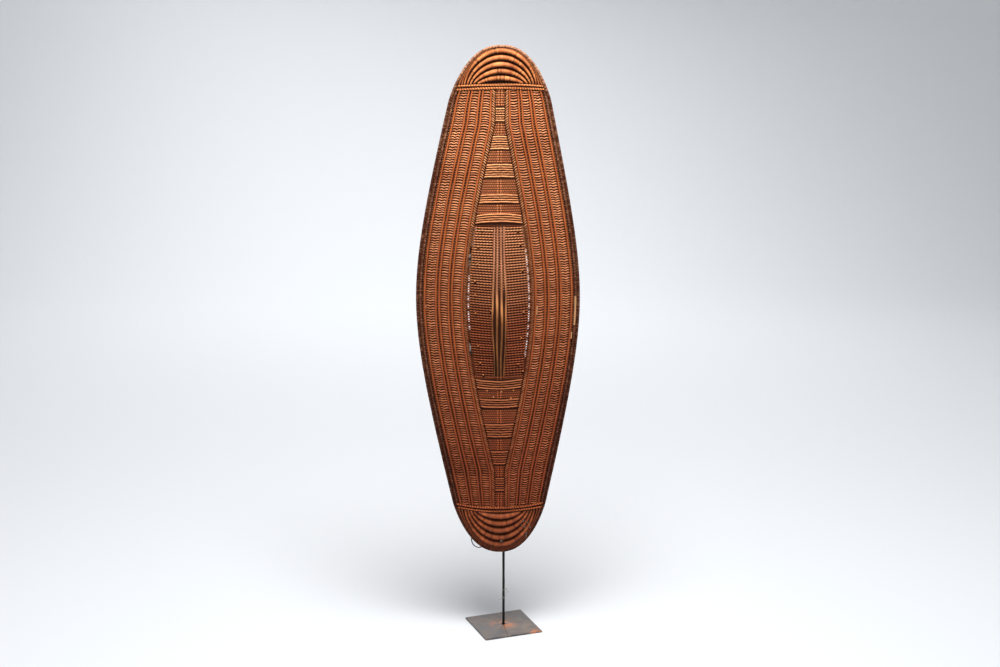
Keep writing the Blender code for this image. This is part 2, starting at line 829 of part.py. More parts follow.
def make_lashings(look):
    """A knotted thong from the slot at the panel's left edge to each end of the grip."""
    knot = ROW_HEIGHT + LASHING_KNOT_RADIUS + GAP
    thong = (
        (knot + LASHING_KNOT_RADIUS * KNOT_REACH, LASHING_STUB_SHARE),
        (knot, LASHING_KNOT_RADIUS / LASHING_RADIUS),
        (knot - LASHING_KNOT_RADIUS * KNOT_REACH, 1.0),
        (-BODY_THICKNESS - LASHING_BEHIND, 1.0),
    )
    for label, along, foot in (("upper", LASHING_HEIGHTS[0], 1), ("lower", LASHING_HEIGHTS[1], -1)):
        points = []
        for lift, _ in thong:
            middle = (BODY.at(-1.0, along, lift) + PANEL.at(-1.0, along, lift)) / 2
            points.append(place(middle))
        swell = [share for _, share in thong]
        near_foot = foot * (GRIP_HALF_LENGTH - GRIP_WIDTH)
        around = [grip_corner(near_foot, corner, LASHING_RADIUS + 2 * GAP) for corner in range(3, 9)]
        points += [place(point) for point in around]
        swell += [1.0] * len(around)
        wire(f"{label}_grip_lashing", points, LASHING_RADIUS, look, swell=swell)


# Stand and wires


def make_plate(look):
    maker = bmesh.new()
    bmesh.ops.create_cube(maker, size=1.0)
    bmesh.ops.scale(maker, vec=(PLATE_SIDE, PLATE_SIDE, PLATE_THICKNESS), verts=maker.verts)
    bmesh.ops.translate(maker, vec=(0.0, 0.0, PLATE_THICKNESS / 2), verts=maker.verts)
    plate = finish_mesh("base_plate", maker, look)
    plate.rotation_euler.z = PLATE_TURN
    bevel = plate.modifiers.new("worn edge", "BEVEL")
    bevel.width = PLATE_BEVEL
    bevel.segments = 1
    return plate


def make_rod(look):
    low = PLATE_THICKNESS + GAP
    high = place(Vector((0.0, ROD_TOP_ON_SHIELD, rod_forward(ROD_TOP_ON_SHIELD)))).z
    maker = bmesh.new()
    bmesh.ops.create_cone(
        maker, cap_ends=True, segments=ROD_SIDES, radius1=ROD_RADIUS, radius2=ROD_RADIUS,
        depth=high - low)
    bmesh.ops.translate(maker, vec=(0.0, 0.0, (low + high) / 2), verts=maker.verts)
    return finish_mesh("stand_rod", maker, look)


def make_tie_wire(look):
    """Wire with its knot in front of the lower cap, through the hole there and round the rod."""
    hole_side = BODY.at(1.0 + WAVE_COLUMNS[0][0] / 2, TIE_HEIGHT).x
    level = place(BODY.at_side(hole_side, TIE_HEIGHT, -BODY_THICKNESS / 2)).z
    crest = ROLL_HEIGHT_SHARE * ROLL_MIDDLE_WIDTH * ROLL_STEP[BOTTOM] * CAP_ROOM[BOTTOM]
    knot = place(BODY.at_side(hole_side, TIE_HEIGHT, crest))
    reach = Vector((0.0, TIE_KNOT_RADIUS * KNOT_REACH, 0.0))
    front = Vector((knot.x, knot.y, level))
    points = [front - reach, front, front + reach]
    swell = [1.0, TIE_KNOT_RADIUS / TIE_WIRE_RADIUS, 1.0]
    radius = ROD_RADIUS + TIE_WIRE_RADIUS + GAP
    heading = math.atan2(front.y, front.x)
    for index in range(TIE_STEPS + 1):
        angle = heading - math.pi / 2 - math.pi * index / TIE_STEPS
        points.append(Vector((radius * math.cos(angle), radius * math.sin(angle), level)))
    points.append(points[-1].lerp(front, TIE_TAIL_SHARE))
    swell += [1.0] * (len(points) - len(swell))
    return wire("lower_tie_wire", points, TIE_WIRE_RADIUS, look, swell=swell)


def make_grip_tie(look):
    """Wire round the rod and the grip bar behind the boss."""
    clearance = TIE_WIRE_RADIUS + 2 * GAP
    front = [place(grip_corner(GRIP_TIE_HEIGHT, corner, clearance)) for corner in range(-1, 5)]
    level = front[0].z
    points = [Vector((point.x, point.y, level)) for point in front]
    behind = ROD_RADIUS + clearance
    for turn in GRIP_TIE_TURNS:
        angle = math.radians(turn)
        points.append(Vector((behind * math.cos(angle), behind * math.sin(angle), level)))
    return wire("grip_tie_wire", points, TIE_WIRE_RADIUS, look, closed=True)


def make_binding_wire(look):
    """Loose wire wound on the rod below the shield, with a tail at each end."""
    radius = ROD_RADIUS + BINDING_WIRE_RADIUS + GAP
    points = [Vector(BINDING_LOW_TAIL)]
    for index in range(BINDING_STEPS + 1):
        share = index / BINDING_STEPS
        angle = share * BINDING_TURNS * 2 * math.pi
        height = BINDING_LOW + (BINDING_HIGH - BINDING_LOW) * share
        points.append(Vector((-radius * math.cos(angle), -radius * math.sin(angle), height)))
    points.append(Vector(BINDING_HIGH_TAIL))
    return wire("rod_binding_wire", points, BINDING_WIRE_RADIUS, look)


def make_rim_loop(look):
    """Thin wire loop that bulges from the rim at the lower left."""
    low, high = LOOP_SPAN
    points = []
    for index in range(LOOP_STEPS + 1):
        share = index / LOOP_STEPS
        along = low + (high - low) * share
        outside = LOOP_WIRE_RADIUS + LOOP_CLEARANCE + LOOP_BULGE * math.sin(share * math.pi)
        widening = outline_half_width(along + NORMAL_STEP) - outline_half_width(along)
        normal = Vector((NORMAL_STEP, -widening)).normalized()
        side = outline_half_width(along) + outside * normal.x
        points.append(place(on_sheet(-side, along + outside * normal.y, -BODY_THICKNESS / 2)))
    return wire("rim_wire_loop", points, LOOP_WIRE_RADIUS, look)


def build():
    clear_scene()
    cane = material("woven cane", (0.330, 0.125, 0.050), 0.55)
    cord = material("twisted cane cord", (0.480, 0.200, 0.085), 0.50)
    binding = material("dark rim binding", (0.120, 0.050, 0.025), 0.60)
    wood = material("grip wood", (0.150, 0.075, 0.040), 0.55)
    thong = material("hide thong", (0.060, 0.045, 0.040), 0.80)
    steel = material("patinated steel", (0.200, 0.170, 0.150), 0.50, 0.80)
    iron = material("dark iron", (0.045, 0.042, 0.045), 0.45, 0.90)
    make_plate(steel)
    make_rod(iron)
    make_binding_wire(iron)
    make_woven_body(cane)
    make_rim(binding)
    make_strands(cord)
    make_cross_cords(cord)
    make_rolls(cord)
    make_ladder_bands(cane)
    make_boss_panel(cane)
    make_spine_rods(cord)
    make_grip(wood)
    make_lashings(thong)
    make_tie_wire(iron)
    make_grip_tie(iron)
    make_rim_loop(iron)


build()
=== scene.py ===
import math

import bpy
import numpy as np
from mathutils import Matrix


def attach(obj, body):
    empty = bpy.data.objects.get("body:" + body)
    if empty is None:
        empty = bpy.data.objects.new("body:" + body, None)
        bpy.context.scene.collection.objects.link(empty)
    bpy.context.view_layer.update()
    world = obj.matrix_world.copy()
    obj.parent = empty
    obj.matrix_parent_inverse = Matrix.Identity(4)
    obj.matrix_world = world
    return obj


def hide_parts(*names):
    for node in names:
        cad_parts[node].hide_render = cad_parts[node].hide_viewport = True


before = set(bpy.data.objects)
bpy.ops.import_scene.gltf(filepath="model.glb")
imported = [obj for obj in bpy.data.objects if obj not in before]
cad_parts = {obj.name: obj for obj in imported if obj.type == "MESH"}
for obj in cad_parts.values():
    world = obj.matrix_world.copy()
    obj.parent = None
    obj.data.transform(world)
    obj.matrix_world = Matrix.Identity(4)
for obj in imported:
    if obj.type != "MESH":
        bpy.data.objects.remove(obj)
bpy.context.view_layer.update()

PI = math.pi
draw = np.random.default_rng(7).uniform

# Sizes of the shield, as in the part
GAP = 0.0003
HALF_LENGTH = 0.625
HALF_WIDTH = 0.1993
WIDEST_HEIGHT = 0.0163
SIDE_TAPER = 0.2445
SIDE_ROUNDING = 0.1962
CAP_LENGTH = 0.136
CAP_SHOULDER = 1.185
CAP_ROUNDING = 2.345
LENGTHWISE_BOW = 0.060
CROSS_CURVE = 1.33
SIDE_BOW = (0.0089, 0.0039)
LEAN = math.radians(3.0)
SHIELD_ORIGIN = np.array((-0.0130, 0.02012, 0.82494))
BODY_THICKNESS = 0.007
STRIP_WIDTH = 0.1165
FIELD_END_HALF_WIDTH = 0.0105
RIM_WIDTH = 0.0075
RIM_PROUD = 0.0025
INSET = RIM_WIDTH + GAP
BOSS_RISE = 0.032
BOSS_REACH = 0.29
BOSS_RIDGE = 1.3
PANEL_TOP = 0.200
PANEL_BOTTOM = -0.162
PANEL_ROWS = 58
PANEL_THICKNESS = 0.004
PANEL_ENDS = (PANEL_TOP, -PANEL_BOTTOM)
SLOT_WIDTH = 0.0026
OPEN_SLOT_LEFT = (-0.055, 0.079)
OPEN_SLOT_RIGHT = (-0.118, 0.142)
ROW_HEIGHT = 0.0022
SPINE_STEP_MIDDLE = 0.0092
SPINE_STEP_END = 0.0071
SPINE_SPREAD_REACH = 0.15
WAVE_CROWN = 0.003
WAVE_COLUMNS = ((0.147, 0.282), (0.418, 0.544), (0.680, 0.837))
CORD_MIDDLES = (0.348, 0.607, 0.910)
STRAND_PLACES = {
    "field_twist": 0.055,
    "field_cord": 0.112,
    "inner_cord_a": 0.312,
    "inner_cord_b": 0.384,
    "middle_cord_a": 0.571,
    "middle_cord_b": 0.643,
    "outer_cord_a": 0.869,
    "outer_cord_b": 0.951,
}
STRAND_SHARE = 0.052
STRAND_HEIGHT = 0.0048
LADDER_BARS = (4, 4, 6, 6, 6)
LADDER_FIRST = (0.0156, 0.0200)
LADDER_NARROW_STEP = 0.0485
LADDER_WIDE_STEP = (0.0660, 0.0700)
LADDER_PITCH = (0.0055, 0.0060)
LADDER_HEIGHT = 0.0042
LADDER_BOWS = ((0.0050, 0.0018, 0.0012, 0.0008, 0.0), (0.0025, 0.0015, 0.0010, 0.0006, 0.0))
CROSS_CORD_PLACE = (0.5235, 0.5035)
CROSS_CORD_STEP = (0.0077, 0.0085)
CROSS_CORD_WIDTH = 0.0070
CROSS_CORD_BOW = (0.0045, 0.0080)
CAP_FOOT = (0.5312, 0.5120)
CAP_ROOM = (0.0860, 0.1052)
ROLLS = 5
ROLL_FIRST = (0.178, 0.132)
ROLL_STEP = (0.185, 0.179)
ROLL_FIRST_SPREAD = 0.569
ROLL_SPREAD_STEP = 0.066
ROLL_FIRST_POINT = 1.50
ROLL_POINT_STEP = -0.08
ROLL_MIDDLE_WIDTH = 0.84
ROLL_END_WIDTH = 0.32
ROLL_HEIGHT_SHARE = 0.62
GRIP_HALF_LENGTH = 0.150
GRIP_WIDTH = 0.022
GRIP_DEPTH = 0.018
GRIP_SIDE = 0.0130
GRIP_MIDDLE_FRONT = 0.0408
GRIP_FOOT_FRONT = 0.0590
PLATE_THICKNESS = 0.004
ROD_RADIUS = 0.0031
ROD_TOP = 0.8061

# Sizes of the weave: the length that one weft, stitch or turn takes, and its height or radius
WEFT_PITCH = 0.0060
BACK_PITCH = 0.0080
FIELD_PITCH = 0.0058
FIELD_BEAT = 0.0052
FIELD_RIB_PLACE = 0.0034
STITCH_PITCH = 0.0057
STITCH_RADIUS = 0.0016
TWINE_LENGTH = 0.0074
STRAND_TURN = 0.0060
SPINE_TURN = 0.0058
SPINE_BARE_FROM = 0.048
ROPE_PITCH = 0.0130
ROPE_RADIUS = 0.0032
ROPE_LIFT = 0.0034
ROPE_PAINTED_MARK = 0.0062
WRAP_PITCH = 0.0034
EDGE_CORD_TURN = 0.0030
RIM_STITCH = 0.0034

# Steps of the mesh, as a length along a cord or a number for each row
STRAND_SPACING = 0.0022
ROPE_SPACING = 0.0013
ROLL_SPACING = 0.0011
RIM_SPACING = 0.0014
FIELD_STEPS = 4
BOSS_STEPS = 6
BACK_STEPS = 3
SHARP_ANGLE = math.radians(50.0)

# Height of the weave on the back, radii of thin things and heights of the level wires
BODY_BACK_RELIEF = 0.0022
PANEL_BACK_RELIEF = 0.0008
CAP_BACK_RELIEF = 0.0018
THONG_RADIUS = 0.0009
KNOT_RADIUS = 0.0008
FIBRE_RADIUS = 0.0007
SPECK_RADIUS = 0.0006
WIRE_RADIUS = 0.0006
LOOP_WIRE_RADIUS = 0.0013
WELD_RADIUS = 0.0036
TIE_HEIGHT = 0.2351
GRIP_WIRE_HEIGHT = 0.7816

# Half sizes of the beads for pegs, for the painted shadows under them and for the painted shade in holes at
# the edge of the boss
PEG_SIZE = (0.0019, 0.0020, 0.0015)
FIELD_PEG_SIZE = (0.0020, 0.0020, 0.0018)
PEG_SHADOW_SIZE = (0.0030, 0.0014, 0.0023)
EDGE_SHADE_WIDTH = 0.0030

# Small things on the front, as chart places: across and along, and a length where there is one
PEGS = (
    (-0.694, 0.1916), (-0.763, 0.1524), (-0.732, 0.1111), (-0.782, 0.0703), (-0.761, 0.0369),
    (-0.752, -0.0065), (-0.728, -0.0872), (-0.727, -0.1295), (-0.660, -0.1590), (0.760, 0.1896),
    (0.801, 0.1575), (0.790, 0.0956), (0.792, -0.0055), (0.765, -0.0688), (0.747, -0.1331),
    (0.985, -0.1522), (-0.243, 0.0019), (-0.215, -0.0149))
FIELD_PEGS = (
    (0.615, 0.2252), (-0.551, -0.1997), (0.106, -0.2018), (0.656, -0.1996), (-0.278, -0.2157),
    (0.579, -0.2195))
EDGE_FIBRES = (
    (-1.000, 0.1290, 0.0060), (-0.985, 0.1190, 0.0080), (-0.995, 0.1080, 0.0050),
    (-1.000, -0.0860, 0.0060), (-0.985, -0.0930, 0.0070), (-1.010, -0.0990, 0.0040))
EDGE_SHADE_SPOTS = ((-1.000, 0.1430, 0.0210), (-0.980, -0.0780, 0.0090), (-0.990, -0.1040, 0.0070))
CAP_SPECKS = (
    (1.574, -0.5375), (1.550, -0.5480), (1.860, -0.5550), (1.900, -0.5780), (1.688, -0.5539),
    (1.835, -0.5704), (1.721, -0.5428))

# Worn places: lowest and highest along, across, and half the width of a bare cord
BARE_CORD = ((-0.047, 0.0240, 1.945, 0.024), (-0.0800, -0.0640, 1.900, 0.018))
WORN_PATCHES = (
    (-0.0060, 0.0180, 1.650), (-0.0160, 0.0060, 1.140), (0.0620, 0.0700, -1.950), (-0.0030, 0.0070, -1.855))

# Backdrop, lamps (place, aim, size and power) and camera
STAGE_FRONT = -3.4
STAGE_BACK = 3.5
STAGE_CURVE = 1.5
STAGE_TOP = 6.0
STAGE_HALF_WIDTH = 6.0
LAMPS = (
    ("key", (0.10, -0.98, 3.7), (-0.1, 0.0, 0.5), (2.0, 1.5), 152.0),
    ("front", (-0.7, -4.9, 2.2), (0.0, 0.0, 0.8), (2.4, 2.0), 46.0),
    ("backdrop wash", (-0.14, 3.95, 2.3), (-0.30, 3.15, 1.3), (3.0, 0.8), 56.0))
CAMERA_LENS = 70.0
CAMERA_PLACE = (-0.1754, -4.5656, 1.912)
CAMERA_DOWN = math.radians(14.17)
CAMERA_RIGHT = math.radians(2.09)

TOP, BOTTOM = 0, 1
ENDS = ((TOP, 1, "upper"), (BOTTOM, -1, "lower"))
SIDES = (("left", -1), ("right", 1))
LOWEST, HIGHEST = -CROSS_CORD_PLACE[BOTTOM], CROSS_CORD_PLACE[TOP]
FORWARD = np.array((0.0, -1.0, 0.0))
UPWARD = np.array((0.0, 0.0, 1.0))


# Points, directions, rings and grooves


def stacked(*parts):
    """Points from coordinates that broadcast together."""
    return np.stack(np.broadcast_arrays(*parts), axis=-1)


def unit(vectors):
    return vectors / np.maximum(np.linalg.norm(vectors, axis=-1, keepdims=True), 1e-12)


def ring(count):
    """Evenly spaced angles round a full turn."""
    return 2 * PI * np.arange(count) / count


def dip(phase, power):
    """1 in the groove between two turns of a binding, and 0 on the crest of a turn."""
    return (1.0 - np.abs(np.sin(PI * phase))) ** power


def upper_skin(turn, power):
    """Height of a strand's skin over half a turn, squarer with a smaller power."""
    return np.sin(turn) ** power


# Outline and curved sheet


def side_half_width(along):
    run = along - WIDEST_HEIGHT
    return HALF_WIDTH - SIDE_TAPER * (np.hypot(run, SIDE_ROUNDING) - SIDE_ROUNDING)


def outline_half_width(along):
    cap_start = HALF_LENGTH - CAP_LENGTH
    share = np.clip((np.abs(along) - cap_start) / CAP_LENGTH, 0.0, 1.0)
    foot = side_half_width(np.clip(along, -cap_start, cap_start))
    return foot * (1.0 - share ** CAP_SHOULDER) ** (1.0 / CAP_ROUNDING)


def body_half_width(along):
    grown = along * HALF_LENGTH / (HALF_LENGTH - INSET)
    return outline_half_width(grown) * (HALF_WIDTH - INSET) / HALF_WIDTH


def field_half_width(along):
    body = body_half_width(along)
    cord = np.where(along > 0, HIGHEST, LOWEST)
    tapered = FIELD_END_HALF_WIDTH * np.minimum(body / body_half_width(cord), 1.0)
    return np.maximum(body - STRIP_WIDTH, tapered)


def panel_half_width(along):
    return field_half_width(along) - SLOT_WIDTH


def boss_rise(along):
    middle = (PANEL_TOP + PANEL_BOTTOM) / 2
    share = np.minimum(np.abs(along - middle) / BOSS_REACH, 1.0)
    return BOSS_RISE * np.cos(share * PI / 2) ** 2


def on_sheet(side, along, lift=0.0):
    """Point of the bent sheet in the shield's own axes: side, along, forward."""
    side, along, lift = np.broadcast_arrays(side, along, lift)
    depth = LENGTHWISE_BOW * (1.0 - (along / HALF_LENGTH) ** 2) - CROSS_CURVE * side * side
    normal = stacked(2.0 * CROSS_CURVE * side, 2.0 * LENGTHWISE_BOW * along / HALF_LENGTH ** 2, 1.0)
    return stacked(side, along, depth) + lift[..., None] * unit(normal)


def chart(across, along, margin=0.0):
    """Point of the woven front: across is 0 at the spine, 1 at the strip and 2 at the rim."""
    across, along = np.broadcast_arrays(across, along)
    field = field_half_width(along) - margin
    reach = np.abs(across)
    outer = field + (reach - 1.0) * (body_half_width(along) - field)
    point = on_sheet(np.where(reach <= 1.0, across * field, np.sign(across) * outer), along)
    point[..., 2] += boss_rise(along) * (1.0 - np.minimum(reach, 1.0) ** BOSS_RIDGE)
    return point


def chart_normal(across, along, margin=0.0):
    step = 0.0005
    reach = np.clip(across, -1.999, 1.999)
    edge = chart(reach + step, along, margin) - chart(reach - step, along, margin)
    rise = chart(reach, along + step, margin) - chart(reach, along - step, margin)
    return unit(np.cross(edge, rise))


def place(point):
    """Turn points from the shield's own axes into the part's frame."""
    side, along, forward = point[..., 0], point[..., 1], point[..., 2]
    bow = np.where(along > 0, SIDE_BOW[TOP], SIDE_BOW[BOTTOM]) * (along / HALF_LENGTH) ** 2
    return SHIELD_ORIGIN + stacked(
        side + bow,
        along * math.sin(LEAN) - forward * math.cos(LEAN),
        along * math.cos(LEAN) + forward * math.sin(LEAN))


def at(across, along, lift=0.0, margin=0.0):
    """Point in front of the woven front, at a place of the chart."""
    across, along, lift = np.broadcast_arrays(across, along, lift)
    normal = chart_normal(across, along, margin)
    return place(chart(across, along, margin) + lift[..., None] * normal)


def at_side(side, along, lift=0.0):
    """Point in front of the sheet, without the boss, at a distance from the spine."""
    return place(on_sheet(side, along, lift))


# Mesh building


class Batch:
    """Solids of one piece, with how much painted shade each point gets (in gaps, in grooves and on sides
    turned from the light, with a few scuffs and worn rods) and how light its strand is.
    """

    def __init__(self):
        self.points = []
        self.faces = []
        self.painted_shade_and_wear = []
        self.tone = []
        self.count = 0

    def add(self, points, painted_shade_and_wear, tone):
        shape = points.shape[:-1]
        index = self.count + np.arange(math.prod(shape)).reshape(shape)
        self.points.append(points.reshape(-1, 3))
        self.painted_shade_and_wear.append(np.broadcast_to(painted_shade_and_wear, shape).reshape(-1))
        self.tone.append(np.broadcast_to(tone, shape).reshape(-1))
        self.count += index.size
        return index

    def quads(self, index, flip=False):
        corners = [index[:-1, :-1], index[:-1, 1:], index[1:, 1:], index[1:, :-1]]
        if flip:
            corners.reverse()
        self.faces += stacked(*corners).reshape(-1, 4).tolist()

    def slab(self, front, back, painted_shade_and_wear, tone, step):
        """A sheet with all its relief in front, and one row of its back for some rows in front."""
        rows = list(range(0, len(front) - 1, step)) + [len(front) - 1]
        face = self.add(front, painted_shade_and_wear, tone)
        rear = self.add(back[rows], 0.6, 0.4)
        self.quads(face)
        self.quads(rear, flip=True)
        for count, (low, high) in enumerate(zip(rows, rows[1:])):
            left = [rear[count, 0], *face[low:high + 1, 0], rear[count + 1, 0]]
            right = [rear[count, -1], *face[low:high + 1, -1], rear[count + 1, -1]]
            self.faces += [left, right[::-1]]
        self.quads(np.stack((rear[0], face[0])))
        self.quads(np.stack((face[-1], rear[-1])))

    def tube(self, rings, painted_shade_and_wear=0.0, tone=0.5, closed=False):
        """A skin over rings of points, capped at both ends unless it is closed."""
        index = self.add(rings, painted_shade_and_wear, tone)
        wrapped = np.concatenate((index, index[:, :1]), axis=1)
        if closed:
            wrapped = np.concatenate((wrapped, wrapped[:1]))
        self.quads(wrapped, flip=True)
        if not closed:
            self.faces += [index[0].tolist(), index[-1][::-1].tolist()]

    def finish(self, name, look, slot, *nodes):
        mesh = bpy.data.meshes.new(name)
        mesh.from_pydata(np.concatenate(self.points).tolist(), [], self.faces)
        for label, values in (("painted_shade_and_wear", self.painted_shade_and_wear), ("tone", self.tone)):
            layer = mesh.attributes.new(label, "FLOAT", "POINT")
            layer.data.foreach_set("value", np.concatenate(values).astype(np.float32))
        mesh.shade_smooth()
        mesh.set_sharp_from_angle(angle=SHARP_ANGLE)
        mesh.materials.append(LOOKS[look])
        piece = bpy.data.objects.new(name, mesh)
        bpy.context.scene.collection.objects.link(piece)
        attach(piece, "root")
        if nodes:
            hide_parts(*nodes)


def ring_frames(path, facing):
    """Directions to the side of a path and away from what it lies on."""
    run = unit(np.gradient(path, axis=0))
    out = unit(facing - np.sum(facing * run, axis=-1, keepdims=True) * run)
    return np.cross(run, out), out


def round_rings(path, facing, wide, high, sides):
    """Elliptic rings along a path."""
    over, out = ring_frames(path, facing)
    wide, high = (np.broadcast_to(size, len(path))[:, None] for size in (wide, high))
    across = (wide * np.cos(ring(sides)))[..., None] * over[:, None, :]
    rise = (high * np.sin(ring(sides)))[..., None] * out[:, None, :]
    return path[:, None, :] + across + rise


def lengths_along(path):
    return np.append(0.0, np.cumsum(np.linalg.norm(np.diff(path, axis=0), axis=1)))


def resample(path, spacing, closed=False):
    """The path again with evenly spaced points, and how far along it each lies."""
    if closed:
        path = np.concatenate((path, path[:1]))
    lengths = lengths_along(path)
    run = np.linspace(0.0, lengths[-1], max(int(round(lengths[-1] / spacing)), 2) + 1)
    if closed:
        run = run[:-1]
    return stacked(*(np.interp(run, lengths, path[:, axis]) for axis in range(3))), run


def smooth_path(path, spacing):
    """Evenly spaced points on a smooth curve through a few points."""
    path = np.asarray(path, dtype=float)
    padded = np.concatenate((2 * path[:1] - path[1:2], path, 2 * path[-1:] - path[-2:-1]))
    pieces = []
    share = np.linspace(0.0, 1.0, 12, endpoint=False)[:, None]
    for before, start, end, after in zip(padded, padded[1:], padded[2:], padded[3:]):
        pieces.append(0.5 * (
            2 * start + (end - before) * share
            + (2 * before - 5 * start + 4 * end - after) * share ** 2
            + (3 * start - before - 3 * end + after) * share ** 3))
    return resample(np.concatenate(pieces + [path[-1:]]), spacing)[0]


def round_wire(batch, points, radius=WIRE_RADIUS, facing=FORWARD, spacing=0.0012, tone=0.5, sides=10):
    """A smooth round wire or thong through a few points, rounded off at its ends."""
    path = smooth_path(points, spacing)
    run = np.arange(len(path)) * spacing
    tip = np.clip(np.sqrt(np.minimum(run, run[::-1]) / radius), 0.35, 1.0)
    batch.tube(round_rings(path, facing, radius * tip, radius * tip, sides), 0.1, tone)


def ball(batch, centre, radius, painted_shade_and_wear, tone):
    """A slightly flattened bead."""
    level = np.linspace(0.06, PI - 0.06, 7)[:, None]
    rings = stacked(np.sin(level) * np.cos(ring(8)), np.cos(level), np.sin(level) * np.sin(ring(8)))
    batch.tube(centre + rings * np.asarray(radius), painted_shade_and_wear, tone)


# Materials


class Look:
    """A Principled material and short ways to add nodes to it."""

    def __init__(self, name, roughness, metallic=0.0, gloss_level=0.1):
        self.material = bpy.data.materials.new(name)
        self.material.use_nodes = True
        self.tree = self.material.node_tree
        self.shader = self.tree.nodes["Principled BSDF"]
        self.shader.inputs["Roughness"].default_value = roughness
        self.shader.inputs["Metallic"].default_value = metallic
        self.shader.inputs["Specular IOR Level"].default_value = gloss_level

    def node(self, kind, inputs, **settings):
        made = self.tree.nodes.new("ShaderNode" + kind)
        for key, value in settings.items():
            setattr(made, key, value)
        for key, value in inputs.items():
            if isinstance(value, bpy.types.NodeSocket):
                self.tree.links.new(value, made.inputs[key])
            else:
                made.inputs[key].default_value = value
        return made

    def math(self, operation, first, second=0.0):
        return self.node("Math", {0: first, 1: second}, operation=operation).outputs[0]

    def mix(self, share, first, second):
        first, second = ((*colour, 1.0) if type(colour) is tuple else colour for colour in (first, second))
        return self.node("Mix", {0: share, 6: first, 7: second}, data_type="RGBA").outputs[2]

    def spread(self, value, low, high, to_low=0.0, to_high=1.0):
        return self.node("MapRange", dict(enumerate((value, low, high, to_low, to_high)))).outputs[0]

    def spot(self, stretch=(1.0, 1.0, 1.0)):
        middle = self.node("TexCoord", {}).outputs["Object"]
        return self.node("Mapping", {"Vector": middle, "Scale": stretch}).outputs[0]

    def split(self):
        return self.node("SeparateXYZ", {0: self.spot()}).outputs

    def noise(self, scale, detail=3.0, roughness=0.6, stretch=(1.0, 1.0, 1.0)):
        inputs = {"Vector": self.spot(stretch), "Scale": scale, "Detail": detail, "Roughness": roughness}
        return self.node("TexNoise", inputs).outputs["Fac"]

    def attribute(self, name):
        return self.node("Attribute", {}, attribute_name=name).outputs["Fac"]

    def link(self, key, value):
        self.tree.links.new(value, self.shader.inputs[key])

    def bump(self, heights, distance):
        made = self.node("Bump", {"Strength": 0.5, "Distance": distance, "Height": heights})
        self.link("Normal", made.outputs[0])


def cane(name, low_dark, low_light, high_dark, high_light, gloss=0.42, painted_shade_depth=0.97, reach=(0.45, 1.35)):
    """Cane that goes from a redder, darker brown below to a bright orange brown above, partly its own colour
    and partly painted shade below and painted light above, and that turns near black where painted shade
    falls.
    """
    look = Look(name, gloss, gloss_level=0.13)
    # Darker and redder towards the bottom: partly the cane's own colour, partly painted shade below and
    # painted light above
    rise = look.spread(look.split()[2], *reach)
    patches = look.noise(6.0, 4.0, 0.6)
    streaks = look.noise(330.0, 2.0, 0.7, (1.0, 1.0, 0.4))
    light = look.math("MULTIPLY", look.attribute("tone"), 0.62)
    light = look.math("ADD", light, look.math("MULTIPLY", patches, 0.55))
    light = look.math("ADD", light, look.math("MULTIPLY", look.math("SUBTRACT", streaks, 0.5), 0.5))
    light = look.spread(light, 0.18, 0.98)
    colour = look.mix(rise, look.mix(light, low_dark, low_light), look.mix(light, high_dark, high_light))
    # Painted shade: near black in gaps, in grooves and under strands, with a few scuffs and worn rods
    painted_shade_and_wear_mix = look.spread(look.attribute("painted_shade_and_wear"), 0.08, 0.72, 0.0, painted_shade_depth)
    colour = look.mix(painted_shade_and_wear_mix, colour, (0.026, 0.0052, 0.0014))
    specks = look.spread(look.noise(110.0, 2.0), 0.68, 0.75)
    colour = look.mix(look.math("MULTIPLY", specks, 0.3), colour, (0.06, 0.025, 0.012))
    look.link("Base Color", colour)
    rough = look.math("ADD", streaks, look.attribute("painted_shade_and_wear"))
    look.link("Roughness", look.spread(rough, 0.2, 1.2, gloss - 0.05, gloss + 0.35))
    look.bump(streaks, 0.0005)
    return look.material


def steel():
    """Grey brown patina with rust round the foot of the rod and at one corner, and a scratch."""
    look = Look("patinated steel", 0.55, 0.1, gloss_level=0.2)
    x, y, _ = look.split()
    clouds = look.spread(look.noise(26.0, 5.0, 0.62), 0.36, 0.64)
    fine = look.noise(300.0, 4.0, 0.75)
    colour = look.mix(clouds, (0.050, 0.046, 0.049), (0.215, 0.170, 0.142))
    colour = look.mix(look.spread(fine, 0.40, 0.70, 0.0, 0.7), colour, (0.050, 0.043, 0.041))
    away = look.math("SQRT", look.math("ADD", look.math("MULTIPLY", x, x), look.math("MULTIPLY", y, y)))
    near = look.spread(away, 0.010, 0.042, 1.0, 0.0)
    blots = look.spread(look.noise(75.0, 4.0, 0.6), 0.46, 0.60)
    rust = look.math("MULTIPLY", near, blots)
    edge = look.math("MULTIPLY", look.spread(look.math("SUBTRACT", x, y), 0.100, 0.122), blots)
    colour = look.mix(look.math("MAXIMUM", rust, edge), colour, (0.44, 0.150, 0.055))
    from_line = look.math("ABSOLUTE", look.math("ADD", x, look.math("MULTIPLY", y, 0.10)))
    line = look.spread(from_line, 0.0006, 0.0016, 0.7, 0.0)
    front = look.math("LESS_THAN", y, 0.0)
    colour = look.mix(look.math("MULTIPLY", line, front), colour, (0.035, 0.028, 0.026))
    look.link("Base Color", colour)
    look.link("Roughness", look.spread(clouds, 0.0, 1.0, 0.38, 0.62))
    look.bump(fine, 0.0004)
    return look.material


def iron():
    look = Look("dark iron", 0.45)
    clouds = look.spread(look.noise(60.0, 4.0, 0.6), 0.3, 0.75)
    look.link("Base Color", look.mix(clouds, (0.0045, 0.0045, 0.005), (0.016, 0.014, 0.015)))
    look.bump(look.noise(420.0, 3.0), 0.0003)
    return look.material
